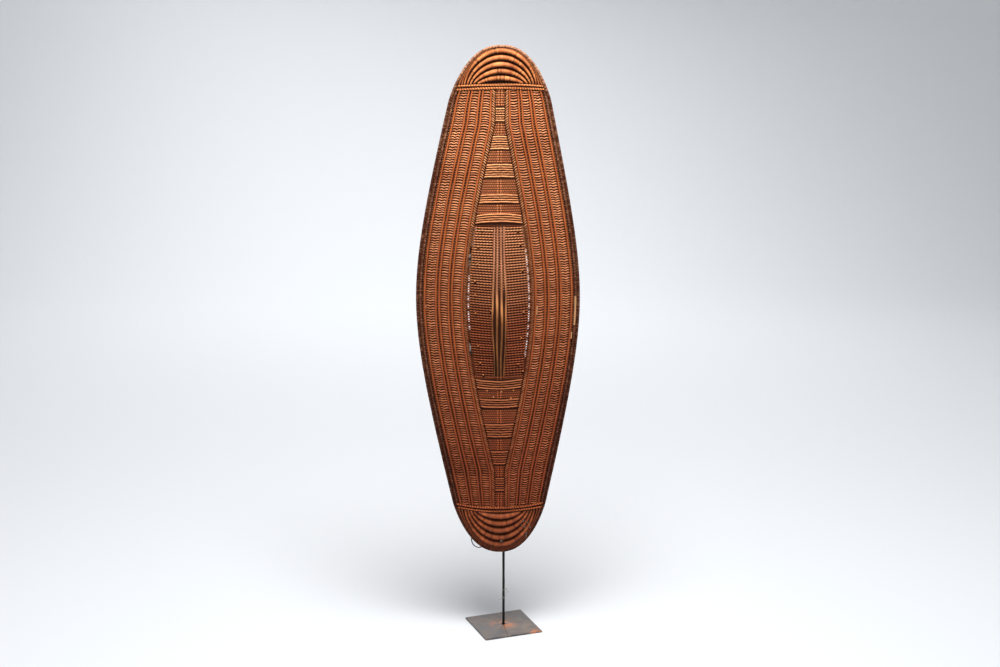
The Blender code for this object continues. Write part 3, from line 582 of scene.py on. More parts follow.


# Each cane has a dark and a light colour at the foot of the shield, then both at its top; the change with
# height is partly the cane's own colour and partly painted shade and light.
LOOKS = {
    "weft": cane("woven cane", (0.120, 0.022, 0.006), (0.46, 0.120, 0.046),
        (0.260, 0.055, 0.014), (0.96, 0.40, 0.175)),
    "cord": cane("cane cord", (0.100, 0.018, 0.005), (0.33, 0.066, 0.020),
        (0.260, 0.050, 0.011), (0.66, 0.175, 0.048)),
    "roll": cane("wrapped cane", (0.095, 0.018, 0.006), (0.46, 0.110, 0.034),
        (0.240, 0.045, 0.011), (0.88, 0.31, 0.100), gloss=0.36),
    "row": cane("twined cane", (0.090, 0.017, 0.005), (0.48, 0.118, 0.042),
        (0.240, 0.050, 0.012), (0.97, 0.42, 0.170)),
    # The boss cane changes steeply over the boss: painted light on its upper slope, which faces up, and
    # painted shade on its lower slope
    "boss": cane("boss cane", (0.085, 0.017, 0.005), (0.48, 0.118, 0.044),
        (0.500, 0.105, 0.030), (0.99, 0.45, 0.205), reach=(0.79, 1.00)),
    "field": cane("fine weave", (0.130, 0.023, 0.007), (0.46, 0.100, 0.034),
        (0.220, 0.045, 0.011), (0.88, 0.32, 0.120)),
    "rim": cane("rim binding", (0.040, 0.010, 0.005), (0.26, 0.078, 0.036),
        (0.100, 0.025, 0.011), (0.72, 0.340, 0.180)),
    "spine": cane("spine cane", (0.040, 0.010, 0.004), (0.62, 0.230, 0.065),
        (0.260, 0.075, 0.036), (0.80, 0.34, 0.170), reach=(0.80, 0.95)),
    "bare": cane("bare cane", (0.36, 0.170, 0.075), (0.56, 0.30, 0.14),
        (0.40, 0.190, 0.085), (0.62, 0.34, 0.17), painted_shade_depth=0.5),
    "peg": cane("cut cane end", (0.50, 0.150, 0.035), (0.75, 0.300, 0.090),
        (0.60, 0.190, 0.050), (0.85, 0.40, 0.150), painted_shade_depth=0.7),
    "wood": cane("grip wood", (0.070, 0.030, 0.014), (0.24, 0.105, 0.048),
        (0.080, 0.034, 0.016), (0.28, 0.125, 0.058), gloss=0.5),
    "hide": cane("hide thong", (0.010, 0.008, 0.007), (0.050, 0.040, 0.034),
        (0.010, 0.008, 0.007), (0.055, 0.044, 0.037), gloss=0.7),
    "fibre": cane("grey fibre", (0.16, 0.15, 0.13), (0.50, 0.47, 0.42),
        (0.16, 0.15, 0.13), (0.50, 0.47, 0.42), gloss=0.8),
    "steel": steel(),
    "iron": iron(),
}


# Strips of waved wefts


def weft_wave(column, side, share):
    """How far each weft bends up or down over a column, in rows."""
    if column == 2:
        return 0.17 * np.sin(3 * PI * share) - 0.05 * side * np.sin(PI * share)
    arch = 0.17 if column == 0 else 0.14
    fall = 0.20 * (1.0 - share) ** 2 if side < 0 else -0.20 * share ** 2
    return -side * arch * np.sin(PI * share) - fall


def strip_samples(side):
    """Across places of a strip, with the valley and crest heights and the wave there."""
    rows = [(0.0, -0.0016, -0.0010, 0.0), (0.022, -0.0008, 0.0001, 0.0), (0.084, -0.0004, 0.0012, 0.0)]
    for column, ((low, high), middle) in enumerate(zip(WAVE_COLUMNS, CORD_MIDDLES)):
        for share in np.linspace(0.0, 1.0, 9 if column == 2 else 7):
            arch = 1.0 - abs(2 * share - 1.0) ** 2.6
            crest = 0.0010 + (WAVE_CROWN - 0.0002) * arch
            wave = weft_wave(column, side, share)
            rows.append((low + (high - low) * share, -0.0006 + 0.0008 * arch, crest, wave))
        for shift, crest in ((-0.010, 0.0008), (0.0, 0.0030), (0.010, 0.0008)):
            rows.append((middle + shift, -0.0004, crest, 0.0))
    rows.append((1.0, -0.0010, -0.0004, 0.0))
    return np.array(rows)


def in_window(along, share):
    """1 beside the window behind the boss panel, and 0 elsewhere."""
    inside = (along > PANEL_BOTTOM) & (along < PANEL_TOP)
    return np.where(inside & (share < 0.03), 1.0, 0.0)


def make_strips():
    # How far over a weft each point lies, then its height and its painted shade, darkest in the gap and on
    # the lower side of the weft
    shape = np.array((
        (0.0, 0.0, 1.0), (0.18, 0.0, 1.0), (0.28, 0.62, 0.70), (0.44, 1.0, 0.16), (0.64, 1.0, 0.0),
        (0.80, 0.66, 0.06), (0.90, 0.0, 0.90)))
    count = int(round((HIGHEST - LOWEST) / WEFT_PITCH))
    phase = np.append((np.arange(count)[:, None] + shape[:, 0]).reshape(-1), count)[:, None]
    bar = np.append(np.tile(shape[:, 1], count), 0.0)
    gap_shade = np.append(np.tile(shape[:, 2], count), 1.0)[:, None]
    fade = np.clip(np.minimum(phase, count - phase) / 4.0, 0.0, 1.0)
    for label, side in SIDES:
        share, valley, crest, wave = strip_samples(side).T
        jitter = 0.09 * np.sin(phase * 0.9 + side) + 0.10 * np.sin(phase * 0.37 + 1.0)
        strength = np.append(np.repeat(draw(0.82, 1.0, count), len(shape)), 1.0)
        tone = np.append(np.repeat(draw(0.30, 0.85, count), len(shape)), 0.5)[:, None]
        along = LOWEST + WEFT_PITCH * (phase + jitter * fade) + WEFT_PITCH * wave * fade
        along = np.clip(along, LOWEST, HIGHEST)
        across = side * (1.0 + share)
        front = at(across, along, valley + (crest - valley) * (bar * strength)[:, None])
        back = at(across, along, -BODY_THICKNESS / 2 + 0.0018 * in_window(along, share))
        # Painted shade in the gaps and under each weft, and in the low places beside the columns and cords
        painted_shade_and_wear = np.maximum(gap_shade, np.where(crest < 0.0010, np.where(share > 0.97, 0.45, 0.80), 0.0))
        light = tone + 0.12 * np.sin(share * 37.0 + phase * 1.3)
        if side < 0:
            front, back, painted_shade_and_wear, light = (values[:, ::-1] for values in (front, back, painted_shade_and_wear, light))
        batch = Batch()
        batch.slab(front, back, painted_shade_and_wear, light, step=len(shape))
        nodes = ("woven_body",) if side < 0 else ()
        batch.finish(f"{label}_strip_weave", "weft", "woven_cane", *nodes)


# Central field, above and below the boss


def make_field():
    across = np.linspace(-1.0, 1.0, 101)
    for end, sign, label in ENDS:
        start = PANEL_ENDS[end]
        stop = CROSS_CORD_PLACE[end] - 0.001
        rows = int(round((stop - start) / FIELD_PITCH))
        phase = np.linspace(0.0, rows, rows * FIELD_STEPS + 1)[::sign, None]
        along = sign * (start + (stop - start) * phase / rows)
        side = across * field_half_width(along)
        row = np.minimum(np.floor(phase), rows - 1)
        bar = np.sin(PI * (phase - row)) ** 0.8
        beat = 0.5 + 0.5 * np.cos(2 * PI * side / FIELD_BEAT + PI * row)
        rib = np.exp(-((np.abs(side) - FIELD_RIB_PLACE) / 0.0017) ** 2)
        between = np.exp(-(side / 0.0010) ** 2)
        body = bar * (0.55 + 0.45 * beat) * (1.0 - 0.4 * between)
        ribbed = rib * bar ** 0.7
        # Painted shade in the gaps of the fine weave, then a painted shadow under each ladder band, reaching
        # further below it
        painted_shade_and_wear = 0.85 * (1.0 - np.maximum(body, ribbed)) ** 1.1
        for centre, bars in zip(ladder_centres(end), LADDER_BARS):
            reach = (bars / 2 + 0.40) * LADDER_PITCH[end]
            shift = -sign * 0.25 * LADDER_PITCH[end]
            near = np.abs(np.abs(along) - centre - shift - LADDER_BOWS[end][0] / 3) < reach
            painted_shade_and_wear = np.maximum(painted_shade_and_wear, 0.9 * near)
        front = at(across, along, 0.0002 + 0.0013 * body + 0.0028 * ribbed)
        back = at(across, along, -BODY_THICKNESS / 2)
        batch = Batch()
        batch.slab(front, back, painted_shade_and_wear, 0.22 + 0.24 * beat + 0.95 * rib, FIELD_STEPS)
        batch.finish(f"{label}_field_weave", "field", "woven_cane")


def ladder_centres(end):
    centre = PANEL_ENDS[end] + LADDER_FIRST[end]
    centres = [centre, centre + LADDER_NARROW_STEP]
    while len(centres) < len(LADDER_BARS):
        centres.append(centres[-1] + LADDER_WIDE_STEP[end])
    return centres


def make_ladder_bands():
    turn = np.linspace(0.0, PI, 9)
    across = np.linspace(-1.0, 1.0, 57)[:, None]
    tip = np.clip((1.0 - np.abs(across)) / 0.03, 0.55, 1.0)
    for end, sign, label in ENDS:
        pitch = LADDER_PITCH[end]
        # Painted shade on the lower side of each bar and on its flanks
        painted_shade_and_wear = np.maximum(0.0, -sign * np.cos(turn)) ** 1.5 + 0.3 * np.abs(np.cos(turn)) ** 6
        for count, (bars, centre) in enumerate(zip(LADDER_BARS, ladder_centres(end))):
            bend = LADDER_BOWS[end][count] * (1.0 - across ** 2)
            batch = Batch()
            for bar in range(bars):
                # The outer bars of a band are stouter and painted lighter, the inner ones darker: painted
                # light and shade
                half, high, light = (0.78, 1.0, 1.10) if bar in (0, bars - 1) else (0.66, 0.86, 0.74)
                wander = 0.0002 * np.sin(across * 7.0 + bar * 2.0) + 0.0001 * np.sin(across * 23.0 + bar)
                along = sign * (centre + (bar - (bars - 1) / 2) * pitch + bend + wander)
                shift = pitch / 2 * half * np.cos(turn)
                lift = GAP + LADDER_HEIGHT * high * upper_skin(turn, 0.7)
                scale = tip * (1.0 - 0.06 * np.maximum(0.0, np.sin(across * 31.0 + bar)) ** 4)
                rings = at(across * 0.99, along + shift * scale, lift * scale)
                tone = light + draw(-0.20, 0.15) + 0.18 * np.sin(across * 13.0 + bar * 3.0)
                batch.tube(rings[::-1], painted_shade_and_wear, tone)
            name = f"{label}_ladder_{count + 1}"
            batch.finish(name, "row", "woven_cane", f"{label}_ladder_band_{count + 1}")


# Boss


def slot_opens(sign, along):
    """Where daylight shows through the slot at the edge of the boss."""
    low, high = (np.where(sign < 0, *places) for places in zip(OPEN_SLOT_LEFT, OPEN_SLOT_RIGHT))
    return (along > low) & (along < high)


def make_boss():
    batch = Batch()
    low, high = PANEL_BOTTOM + 0.0004, PANEL_TOP - 0.0004
    pitch = (high - low) / PANEL_ROWS
    phase = np.linspace(0.0, PANEL_ROWS, PANEL_ROWS * BOSS_STEPS + 1)[:, None]
    along = low + pitch * phase
    across = np.linspace(-1.0, 1.0, 131)
    side = across * panel_half_width(along)
    margin = SLOT_WIDTH + 0.0011 * slot_opens(np.sign(across), along)
    row = np.minimum(np.floor(phase), PANEL_ROWS - 1).astype(int)
    twist = 2 * PI * side / TWINE_LENGTH + (row * 0.45 + draw(-0.8, 0.8, PANEL_ROWS)[row])
    inside = phase - row - 0.5
    centre = 0.070 * np.sin(twist)
    half = 0.275 + 0.030 * np.cos(2 * twist)
    height = np.sqrt(np.maximum(0.0, 1.0 - ((inside - centre) / half) ** 2))
    height = height * (0.88 + 0.12 * np.cos(twist + 0.6))
    edge = np.clip((np.abs(side) - (field_half_width(along) - 0.0090)) / 0.0030, 0.0, 1.0)
    front = at(across, along, -0.0006 + (ROW_HEIGHT + 0.0018) * height, margin)
    back = at(across, along, -PANEL_THICKNESS + 0.0036 * edge, margin)
    # Each row's own tone, lighter on the raised part of each twist: a painted highlight
    tone = draw(0.32, 0.90, PANEL_ROWS)[row] + 0.32 * np.cos(twist + 0.8)
    # Painted shade in the gaps between rows and under each row
    under = np.clip((centre - inside) / half, 0.0, 1.0)
    painted_shade_and_wear = np.maximum((1.0 - height) ** 1.15, 0.8 * under ** 1.8)
    batch.slab(front, back, painted_shade_and_wear, tone, BOSS_STEPS)
    # Ends of the rows, which cross the slots or stop short of them, with painted shade on them
    reach = np.array((0.935, 0.975, 1.010, 1.040))
    drop = np.array((0.0006, 0.0002, -0.0002, 0.0))
    for sign in (-1, 1):
        for count in range(PANEL_ROWS):
            middle = low + pitch * (count + 0.5) + 0.0003 * math.sin(count * 2.1)
            open_here = slot_opens(sign, middle) and (count * 7) % 11 < 8
            wide, painted_shade_and_wear = (0.0019, 0.25) if open_here else (0.0033, 0.6)
            path = at(sign * reach, middle + 0.0006 * np.arange(4), drop)
            batch.tube(round_rings(path, FORWARD, wide, 0.0013, 7), painted_shade_and_wear, draw(0.3, 0.9))
    # Dark ground under both ends of the panel: painted shade in the gap there
    across = np.linspace(-0.99, 0.99, 21)
    for edge in (low, high):
        along = edge + np.array((-0.005, 0.0, 0.005))[:, None]
        front, back = (at(across, along, -PANEL_THICKNESS - depth) for depth in (0.0003, 0.0013))
        batch.slab(front, back, 0.95, 0.3, step=1)
    batch.finish("boss_rows", "boss", "woven_cane", "boss_panel")


def spine_step(along):
    share = np.minimum(np.abs(along) / SPINE_SPREAD_REACH, 1.0)
    return SPINE_STEP_END + (SPINE_STEP_MIDDLE - SPINE_STEP_END) * np.cos(share * PI / 2) ** 2


def bare_share(along, start):
    """1 where the binding of the spine has worn off, and 0 above a height."""
    return 1.0 / (1.0 + np.exp((along - start) / 0.006))


def make_spine():
    turn = np.linspace(0.0, PI, 9)
    along = np.linspace(PANEL_BOTTOM + 0.0006, PANEL_TOP - 0.0006, 290)[:, None]
    step = spine_step(along)
    # How wide each rod is where it is bare, how much it glows there and where most
    rods = ((0.62, 0.35, 0.012), (0.82, 0.62, 0.024), (0.82, 0.62, 0.004), (0.62, 0.35, 0.000))
    for count, (slim, shine, middle) in enumerate(rods):
        bare = bare_share(along, SPINE_BARE_FROM + 0.010 * (count % 2))
        groove = dip(along / SPINE_TURN + turn / (2 * PI) * (1 if count % 2 else -1), 2) * (1.0 - bare)
        half = step * (0.45 * (1.0 - bare) + 0.5 * slim * bare) * (1.0 - 0.10 * groove)
        high = step * 0.62 * (1.0 - 0.14 * groove)
        wander = 0.0005 * np.sin(along * 40.0 + count * 1.7) * (0.3 + bare)
        side = (count - 1.5) * step * (1.0 + 0.03 * bare) + wander + half * np.cos(turn)
        lift = ROW_HEIGHT - 0.0010 + high * upper_skin(turn, 0.8)
        glow = bare * np.exp(-((along - middle) / 0.020) ** 2)
        dull = bare * np.clip((0.004 - along) / 0.03, 0.0, 1.0)
        tone = 0.40 + 0.12 * np.sin(along * 55.0 + count) + shine * glow - 0.14 * dull
        # Painted shade in the grooves of the binding and on the flanks of each rod; bare rods a little darker
        # away from their brightest place
        painted_shade_and_wear = 0.70 * groove + 0.12 * bare * (1.0 - glow) + 0.95 * np.abs(np.cos(turn)) ** 2.3
        batch = Batch()
        batch.tube(at(side / panel_half_width(along), along, lift, SLOT_WIDTH), painted_shade_and_wear, tone)
        batch.finish(f"spine_cane_{count + 1}", "spine", "cane_cord", f"spine_rod_{count + 1}")
    # Ground between the rods, painted fully dark: painted shade in the gaps
    along = np.linspace(PANEL_BOTTOM + 0.0006, PANEL_TOP - 0.0006, 120)[:, None]
    across = 1.7 * spine_step(along) * np.linspace(-1.0, 1.0, 5) / panel_half_width(along)
    rise = ROW_HEIGHT - 0.0004 + 0.0016 * bare_share(along, SPINE_BARE_FROM)
    ground = Batch()
    ground.slab(at(across, along, rise, SLOT_WIDTH), at(across, along, 0.0, SLOT_WIDTH), 1.0, 0.0, step=8)
    ground.finish("spine_ground", "spine", "woven_cane")


# Lengthwise strands


def cross_cord_line(end, side, count=0):
    """How far from the middle of the shield a cross cord lies, at a distance from the spine."""
    edge = body_half_width((HIGHEST, LOWEST)[end])
    straight = CROSS_CORD_PLACE[end] + CROSS_CORD_STEP[end] * count
    return straight - CROSS_CORD_BOW[end] * (side / edge) ** 2


def strand_ends(across):
    ends = []
    for end, sign, _ in reversed(ENDS):
        side = chart(across, sign * CROSS_CORD_PLACE[end])[0]
        ends.append(sign * (cross_cord_line(end, side) - CROSS_CORD_WIDTH / 2 - 0.0006))
    return ends


def make_strands():
    turn = np.linspace(0.0, PI, 8)
    for label, sign in SIDES:
        for name, share in STRAND_PLACES.items():
            if name == "field_twist":
                continue
            middle = sign * (1.0 + share)
            low, high = strand_ends(middle)
            along = np.linspace(low, high, int((high - low) / STRAND_SPACING))[:, None]
            groove = dip(along / STRAND_TURN + sign * 0.9 * turn / PI, 1.3)
            lift = GAP + STRAND_HEIGHT * upper_skin(turn, 0.6) * (1.0 - 0.12 * groove)
            wander = 0.0016 * np.sin(along * 35.0 + share * 50.0)
            wander = wander + 0.0008 * np.sin(along * 90.0 + share * 20.0)
            rings = at(middle + wander + STRAND_SHARE / 2 * 0.90 * np.cos(turn), along, lift)
            look = "cord"
            tone = 0.80 + 0.24 * np.sin(along * 21.0 + share * 40.0) * np.sin(along * 57.0 + share * 9.0)
            if name == "outer_cord_b":
                look = "rim"
                tone = 0.9 * draw(0.0, 0.9, along.shape) ** 2 - 0.15
            batch = Batch()
            # Painted shade in the grooves of the binding and on the flanks of each cord
            batch.tube(rings, 0.62 * groove + 0.60 * np.abs(np.cos(turn)) ** 5, tone)
            batch.finish(f"{label}_{name}_strand", look, "cane_cord", f"{label}_{name}")


def make_twists():
    """Slanted stitches along both edges of the central field."""
    turn = ring(7)
    steps = np.linspace(-1.0, 1.0, 7)
    middle = 1.0 + STRAND_PLACES["field_twist"]
    lift = 0.0006 + 0.0030 * np.sqrt(1.0 - 0.92 * steps ** 2)
    radius = STITCH_RADIUS * np.sqrt(1.0 - 0.70 * steps ** 2)
    # Painted shade towards the ends and on the flanks of each stitch, and full shade on its back
    painted_shade_and_wear = 0.50 * np.abs(steps)[:, None] ** 3 + 0.75 * np.abs(np.cos(turn)) ** 3
    painted_shade_and_wear = np.where(np.sin(turn) < -0.1, 1.0, painted_shade_and_wear)
    for label, sign in SIDES:
        batch = Batch()
        low, high = strand_ends(sign * middle)
        count = int((high - low) / STITCH_PITCH)
        for spot in low + (high - low) * (np.arange(count) + 0.5) / count:
            tilted = np.clip(spot + 0.0036 * steps + draw(-0.0004, 0.0004), low, high)
            path = at(sign * (middle - 0.008 + 0.038 * steps), tilted, lift)
            tones = (0.10, 0.40) if PANEL_BOTTOM < spot < PANEL_TOP else (0.35, 0.95)
            batch.tube(round_rings(path, FORWARD, radius, radius, 7), painted_shade_and_wear, draw(*tones))
        batch.finish(f"{label}_field_twist_stitches", "row", "cane_cord", f"{label}_field_twist")


# Caps


def make_cap_ground():
    batch = Batch()
    for end, sign, _ in ENDS:
        start = CROSS_CORD_PLACE[end] - 0.010
        share = np.sin(np.linspace(0.0, PI / 2, 61))[::sign, None]
        along = sign * (start + (HALF_LENGTH - INSET - start) * share)
        side = body_half_width(along) * np.linspace(-1.0, 1.0, 61)
        front = at_side(side, along, 0.0006 * np.abs(np.sin(side * 700.0)) - 0.0004)
        # Dark ground between the rolls: painted shade in the gaps
        batch.slab(front, at_side(side, along, -BODY_THICKNESS), 0.90, 0.3, step=6)
    batch.finish("cap_ground", "weft", "woven_cane")


def rope(batch, path, pitch, tone):
    """Two plies twisted round a path, with slanted painted highlights and painted shade marks on them, and
    painted shade below, between the plies and on the flanks.
    """
    path, run = resample(path, ROPE_SPACING)
    over, out = ring_frames(path, FORWARD)
    ply = ROPE_RADIUS * 0.60
    core = ROPE_RADIUS - ply
    tip = np.clip(np.minimum(run, run[-1] - run) / 0.003, 0.25, 1.0)
    run = run[:, None]
    painted_light_marks = np.sin(2 * PI * run / ROPE_PAINTED_MARK + ring(8))
    for start in (0.0, PI):
        turn = 2 * PI * run / pitch + start
        offset = core * (np.cos(turn) * over + np.sin(turn) * out)
        rings = round_rings(path + offset, out, ply * 1.12 * tip, ply * tip, 8)
        from_path = rings - path[:, None, :]
        height = np.sum(from_path * out[:, None, :], axis=-1) / ROPE_RADIUS
        below = np.clip(-from_path[..., 2] / ROPE_RADIUS, 0.0, 1.0)
        inner = np.sum((offset[:, None, :] - from_path) * offset[:, None, :], axis=-1) / (ply * core)
        # Painted shade: darker below, between the plies and on the flanks, lighter on the front
        shade = 0.55 - 0.70 * height + 0.8 * below ** 2 + 0.9 * np.maximum(inner, 0.0) ** 2
        shade = np.minimum(np.clip(shade, 0.0, 0.98) + 0.45 * np.maximum(0.0, -painted_light_marks), 0.98)
        batch.tube(rings, shade, tone + 0.12 * np.sin(run / 0.011 + start) + 0.40 * painted_light_marks)


def make_cross_cords():
    for end, sign, label in ENDS:
        for count in (0, 1):
            edge = body_half_width(sign * cross_cord_line(end, HALF_WIDTH / 2, count + 1))
            side = np.linspace(-1.0, 1.0, 160) * (edge + 0.0020)
            path = at_side(side, sign * cross_cord_line(end, side, count), ROPE_LIFT)
            batch = Batch()
            rope(batch, path, ROPE_PITCH * (1 if count else -1), 0.62 + 0.1 * count)
            name = f"{label}_cross_rope_{count + 1}"
            batch.finish(name, "roll", "cane_cord", f"{label}_cross_cord_{count + 1}")


def roll_point(count):
    return ROLL_FIRST_POINT + ROLL_POINT_STEP * count


def roll_height(end, count):
    return CAP_ROOM[end] * (ROLL_FIRST[end] + ROLL_STEP[end] * count)


def roll_width(end, turns):
    share = ROLL_END_WIDTH + (ROLL_MIDDLE_WIDTH - ROLL_END_WIDTH) * np.sin(turns) ** 2
    return (CAP_ROOM[end] * ROLL_STEP[end] * share)[:, None]


def roll_centre(end, count, turns):
    body = body_half_width(CAP_FOOT[end] if end == TOP else -CAP_FOOT[end])
    half_width = body * (ROLL_FIRST_SPREAD + ROLL_SPREAD_STEP * count)
    height = roll_height(end, count) * np.maximum(np.sin(turns), 0.0) ** roll_point(count)
    return stacked(half_width * np.cos(turns), height)


def square_to(ahead):
    """Directions in the sheet, square to others and to their right."""
    return unit(stacked(ahead[:, 1], -ahead[:, 0]))


def roll_outward(end, count, turns):
    return square_to(roll_centre(end, count, turns + 0.01) - roll_centre(end, count, turns - 0.01))


def make_rolls():
    around = np.linspace(0.0, PI, 11)
    lowest = CROSS_CORD_WIDTH / 2 + GAP
    for end, sign, label in ENDS:
        # Painted shade on the lower side of each roll and a little on its upper flank, and a painted
        # highlight along its upper part
        below = np.maximum(0.0, sign * np.cos(around))
        above = np.maximum(0.0, -sign * np.cos(around))
        crest = 0.28 * np.exp(-((np.cos(around) + 0.35 * sign) / 0.35) ** 2)
        for count in range(ROLLS):
            start = math.asin(((lowest + GAP) / roll_height(end, count)) ** (1.0 / roll_point(count)))
            turns = np.linspace(start, PI - start, 400)
            lengths = lengths_along(roll_centre(end, count, turns))
            run = np.linspace(0.0, lengths[-1], int(lengths[-1] / ROLL_SPACING))
            turns = np.interp(run, lengths, turns)
            groove = dip(run / WRAP_PITCH, 3)[:, None]
            width = roll_width(end, turns) * (1.0 - 0.035 * groove)
            shift = -0.5 * width * np.cos(around)
            outward = roll_outward(end, count, turns)
            spot = roll_centre(end, count, turns)[:, None, :] + outward[:, None, :] * shift[..., None]
            along = sign * (cross_cord_line(end, spot[..., 0], 1) + np.maximum(spot[..., 1], lowest))
            rings = at_side(spot[..., 0], along, 0.0006 + ROLL_HEIGHT_SHARE * width * upper_skin(around, 0.8))
            index = np.floor(run / WRAP_PITCH).astype(int)
            seeds = draw(0.0, 1.0, index[-1] + 4)
            broad = np.convolve(seeds, np.ones(3) / 3, mode="same")[index]
            seeds = seeds[index]
            tone = 0.24 + 0.34 * seeds + 0.85 * (broad - 0.5) + 0.10 * np.sin(run * 60.0 + count)
            scuffs = np.where(seeds > 0.93, 0.35, 0.0)[:, None]
            painted_shade_and_wear = 0.60 * groove + scuffs + 1.05 * below ** 1.8 + 0.40 * above ** 3
            batch = Batch()
            batch.tube(rings[::-sign], painted_shade_and_wear[::-sign], tone[::-sign, None] + crest)
            name = f"{label}_roll_{count + 1}"
            batch.finish(name, "roll", "cane_cord", f"{label}_cap_roll_{count + 1}")


def make_edge_cords():
    """Thin wrapped cords that fill the corners of both caps, outside the last roll."""
    scales = np.linspace(1.0, 1.8, 400)[:, None]
    turns = np.linspace(0.03, PI / 2, 200)
    flank = 0.9 * np.cos(ring(10)) ** 2
    # Painted shade on the flanks of each cord and in the grooves of its wrapping
    for end, sign, label in ENDS:
        foot = np.array((0.0, CAP_FOOT[end]))
        outward = roll_outward(end, ROLLS - 1, turns)
        inner = roll_centre(end, ROLLS - 1, turns) + outward * roll_width(end, turns) / 2
        inner[:, 1] += cross_cord_line(end, inner[:, 0], 1)
        grown = foot + (inner - foot)[:, None, :] * scales
        outside = grown[..., 0] >= body_half_width(sign * grown[..., 1])
        edge = grown[np.arange(len(turns)), np.argmax(outside, axis=1)]
        room = np.linalg.norm(edge - inner, axis=1)
        batch = Batch()
        for side in (-1, 1):
            for share in (0.28, 0.74):
                spot = inner + share * (edge - inner)
                lowest = cross_cord_line(end, spot[:, 0], 1) + CROSS_CORD_WIDTH / 2
                keep = (room > 0.0014) & (spot[:, 1] > lowest)
                spot, space = spot[keep], room[keep]
                start = (spot[0, 0] + 0.0012, cross_cord_line(end, spot[0, 0], 1) + 0.0020)
                spot, space = np.concatenate(((start,), spot)), np.append(space[:1], space)
                radius = np.clip(0.22 * space, 0.0008, 0.0026)
                path = at_side(side * spot[:, 0], sign * spot[:, 1], radius + GAP)
                groove = dip(lengths_along(path) / EDGE_CORD_TURN, 2)[:, None]
                rings = round_rings(path, FORWARD, radius, radius * 1.1, 10)
                batch.tube(rings, 0.45 * groove + flank, draw(-0.1, 0.6, groove.shape))
        batch.finish(f"{label}_edge_cords", "roll", "cane_cord")


# Rim


def rim_path():
    """Evenly spaced points on the woven body's edge: side and height on the shield."""
    along = (HALF_LENGTH - INSET) * np.sin(np.linspace(-PI / 2, PI / 2, 1500))
    right = stacked(body_half_width(along), along, 0.0)
    left = right[::-1] * (-1.0, 1.0, 1.0)
    path, run = resample(np.concatenate((right, left)), RIM_SPACING, closed=True)
    return path[:, :2], run


def make_rim():
    path, run = rim_path()
    ahead = np.roll(path, -1, axis=0) - np.roll(path, 1, axis=0)
    for _ in range(6):
        ahead = (np.roll(ahead, 1, axis=0) + ahead + np.roll(ahead, -1, axis=0)) / 3
    around = ring(14)
    total = run[-1] + run[1]
    stitches = int(round(total / RIM_STITCH))
    phase = run[:, None] / total * stitches + around / (2 * PI)
    groove = dip(phase, 1.5)
    scale = 1.0 - 0.10 * groove
    reach = GAP + RIM_WIDTH / 2 + RIM_WIDTH / 2 * np.cos(around) * scale
    lift = -BODY_THICKNESS / 2 + (BODY_THICKNESS / 2 + RIM_PROUD) * np.sin(around) * scale
    spot = path[:, None, :] + square_to(ahead)[:, None, :] * reach[..., None]
    rings = at_side(spot[..., 0], spot[..., 1], lift)
    seeds = draw(0.0, 1.0, stitches + 1)[np.floor(phase).astype(int) % stitches]
    along = path[:, 1:]
    end_light = np.clip((np.abs(along) - 0.50) / 0.06, 0.0, 1.0) * np.where(along > 0, 1.0, 0.45)
    tone = 0.65 * seeds ** 2 - 0.25 + end_light * (0.50 + 0.60 * seeds)
    batch = Batch()
    # Painted shade in the grooves between stitches
    batch.tube(rings[:, ::-1], 0.95 * groove[:, ::-1], tone[:, ::-1], closed=True)
    batch.finish("bound_rim", "rim", "rim_binding", "rim_hoop")


def make_bare_cords():
    batch = Batch()
    turn = np.linspace(0.08, 0.92, 9) * PI
    lift = 0.0008 + 0.0050 * upper_skin(turn, 0.6)
    for low, high, across, width in BARE_CORD:
        along = np.linspace(low, high, 40)[:, None]
        reach = width * (0.9 + 0.1 * np.sin(along * 190.0)) * np.cos(turn)
        front = at(across - reach, along, lift)
        back = at(across - 0.9 * reach, along, lift - 0.0010)
        # Painted shade on the flanks
        batch.slab(front, back, 0.1 + 0.5 * np.abs(np.cos(turn)) ** 6, 0.6, step=4)
    batch.finish("bare_cord_cane", "bare", "woven_cane")


# Back


def back_grid(start, stop, columns, edge=1.0):
    """Places along and across an over-and-under weave, and its height there."""
    rows = int(round((stop - start) / BACK_PITCH))
    phase = np.linspace(0.0, rows, rows * BACK_STEPS + 1)[:, None]
    warp = np.linspace(0.0, columns / 2, columns * 2 + 1)
    sway = np.cos(PI * (warp + np.minimum(np.floor(phase), rows - 1)))
    height = np.abs(np.sin(PI * phase)) ** 0.6 * (0.70 + 0.30 * sway)
    along = np.linspace(start, stop, rows * BACK_STEPS + 1)[:, None]
    return along, np.linspace(edge, -edge, columns * 2 + 1), height


def add_back(batch, front, back, height, darkest):
    # Painted shade in the gaps of the weave, and its raised parts painted lighter: painted light
    batch.slab(front, back, (1.0 - height) ** 1.5, darkest + 0.3 * height, BACK_STEPS)


def make_back():
    batch = Batch()
    # Middle and half width of each zone across, its lowest and highest places and its columns
    zones = (
        (-1.5, 0.5, LOWEST, HIGHEST, 20), (1.5, 0.5, LOWEST, HIGHEST, 20),
        (0.0, 1.0, PANEL_TOP, HIGHEST, 30), (0.0, 1.0, LOWEST, PANEL_BOTTOM, 30))
    for middle, half, start, stop, columns in zones:
        along, across, height = back_grid(start, stop, columns, half)
        across = middle + across
        inner = in_window(along, np.abs(across) - 1.0) * (half < 1.0)
        across = np.where(inner > 0.0, np.sign(across) * np.maximum(np.abs(across), 1.035), across)
        front = at(across, along, -BODY_THICKNESS - BODY_BACK_RELIEF * height)
        add_back(batch, front, at(across, along, -BODY_THICKNESS / 2 - 0.0001), height, 0.35)
    batch.finish("back_weave", "field", "woven_cane")


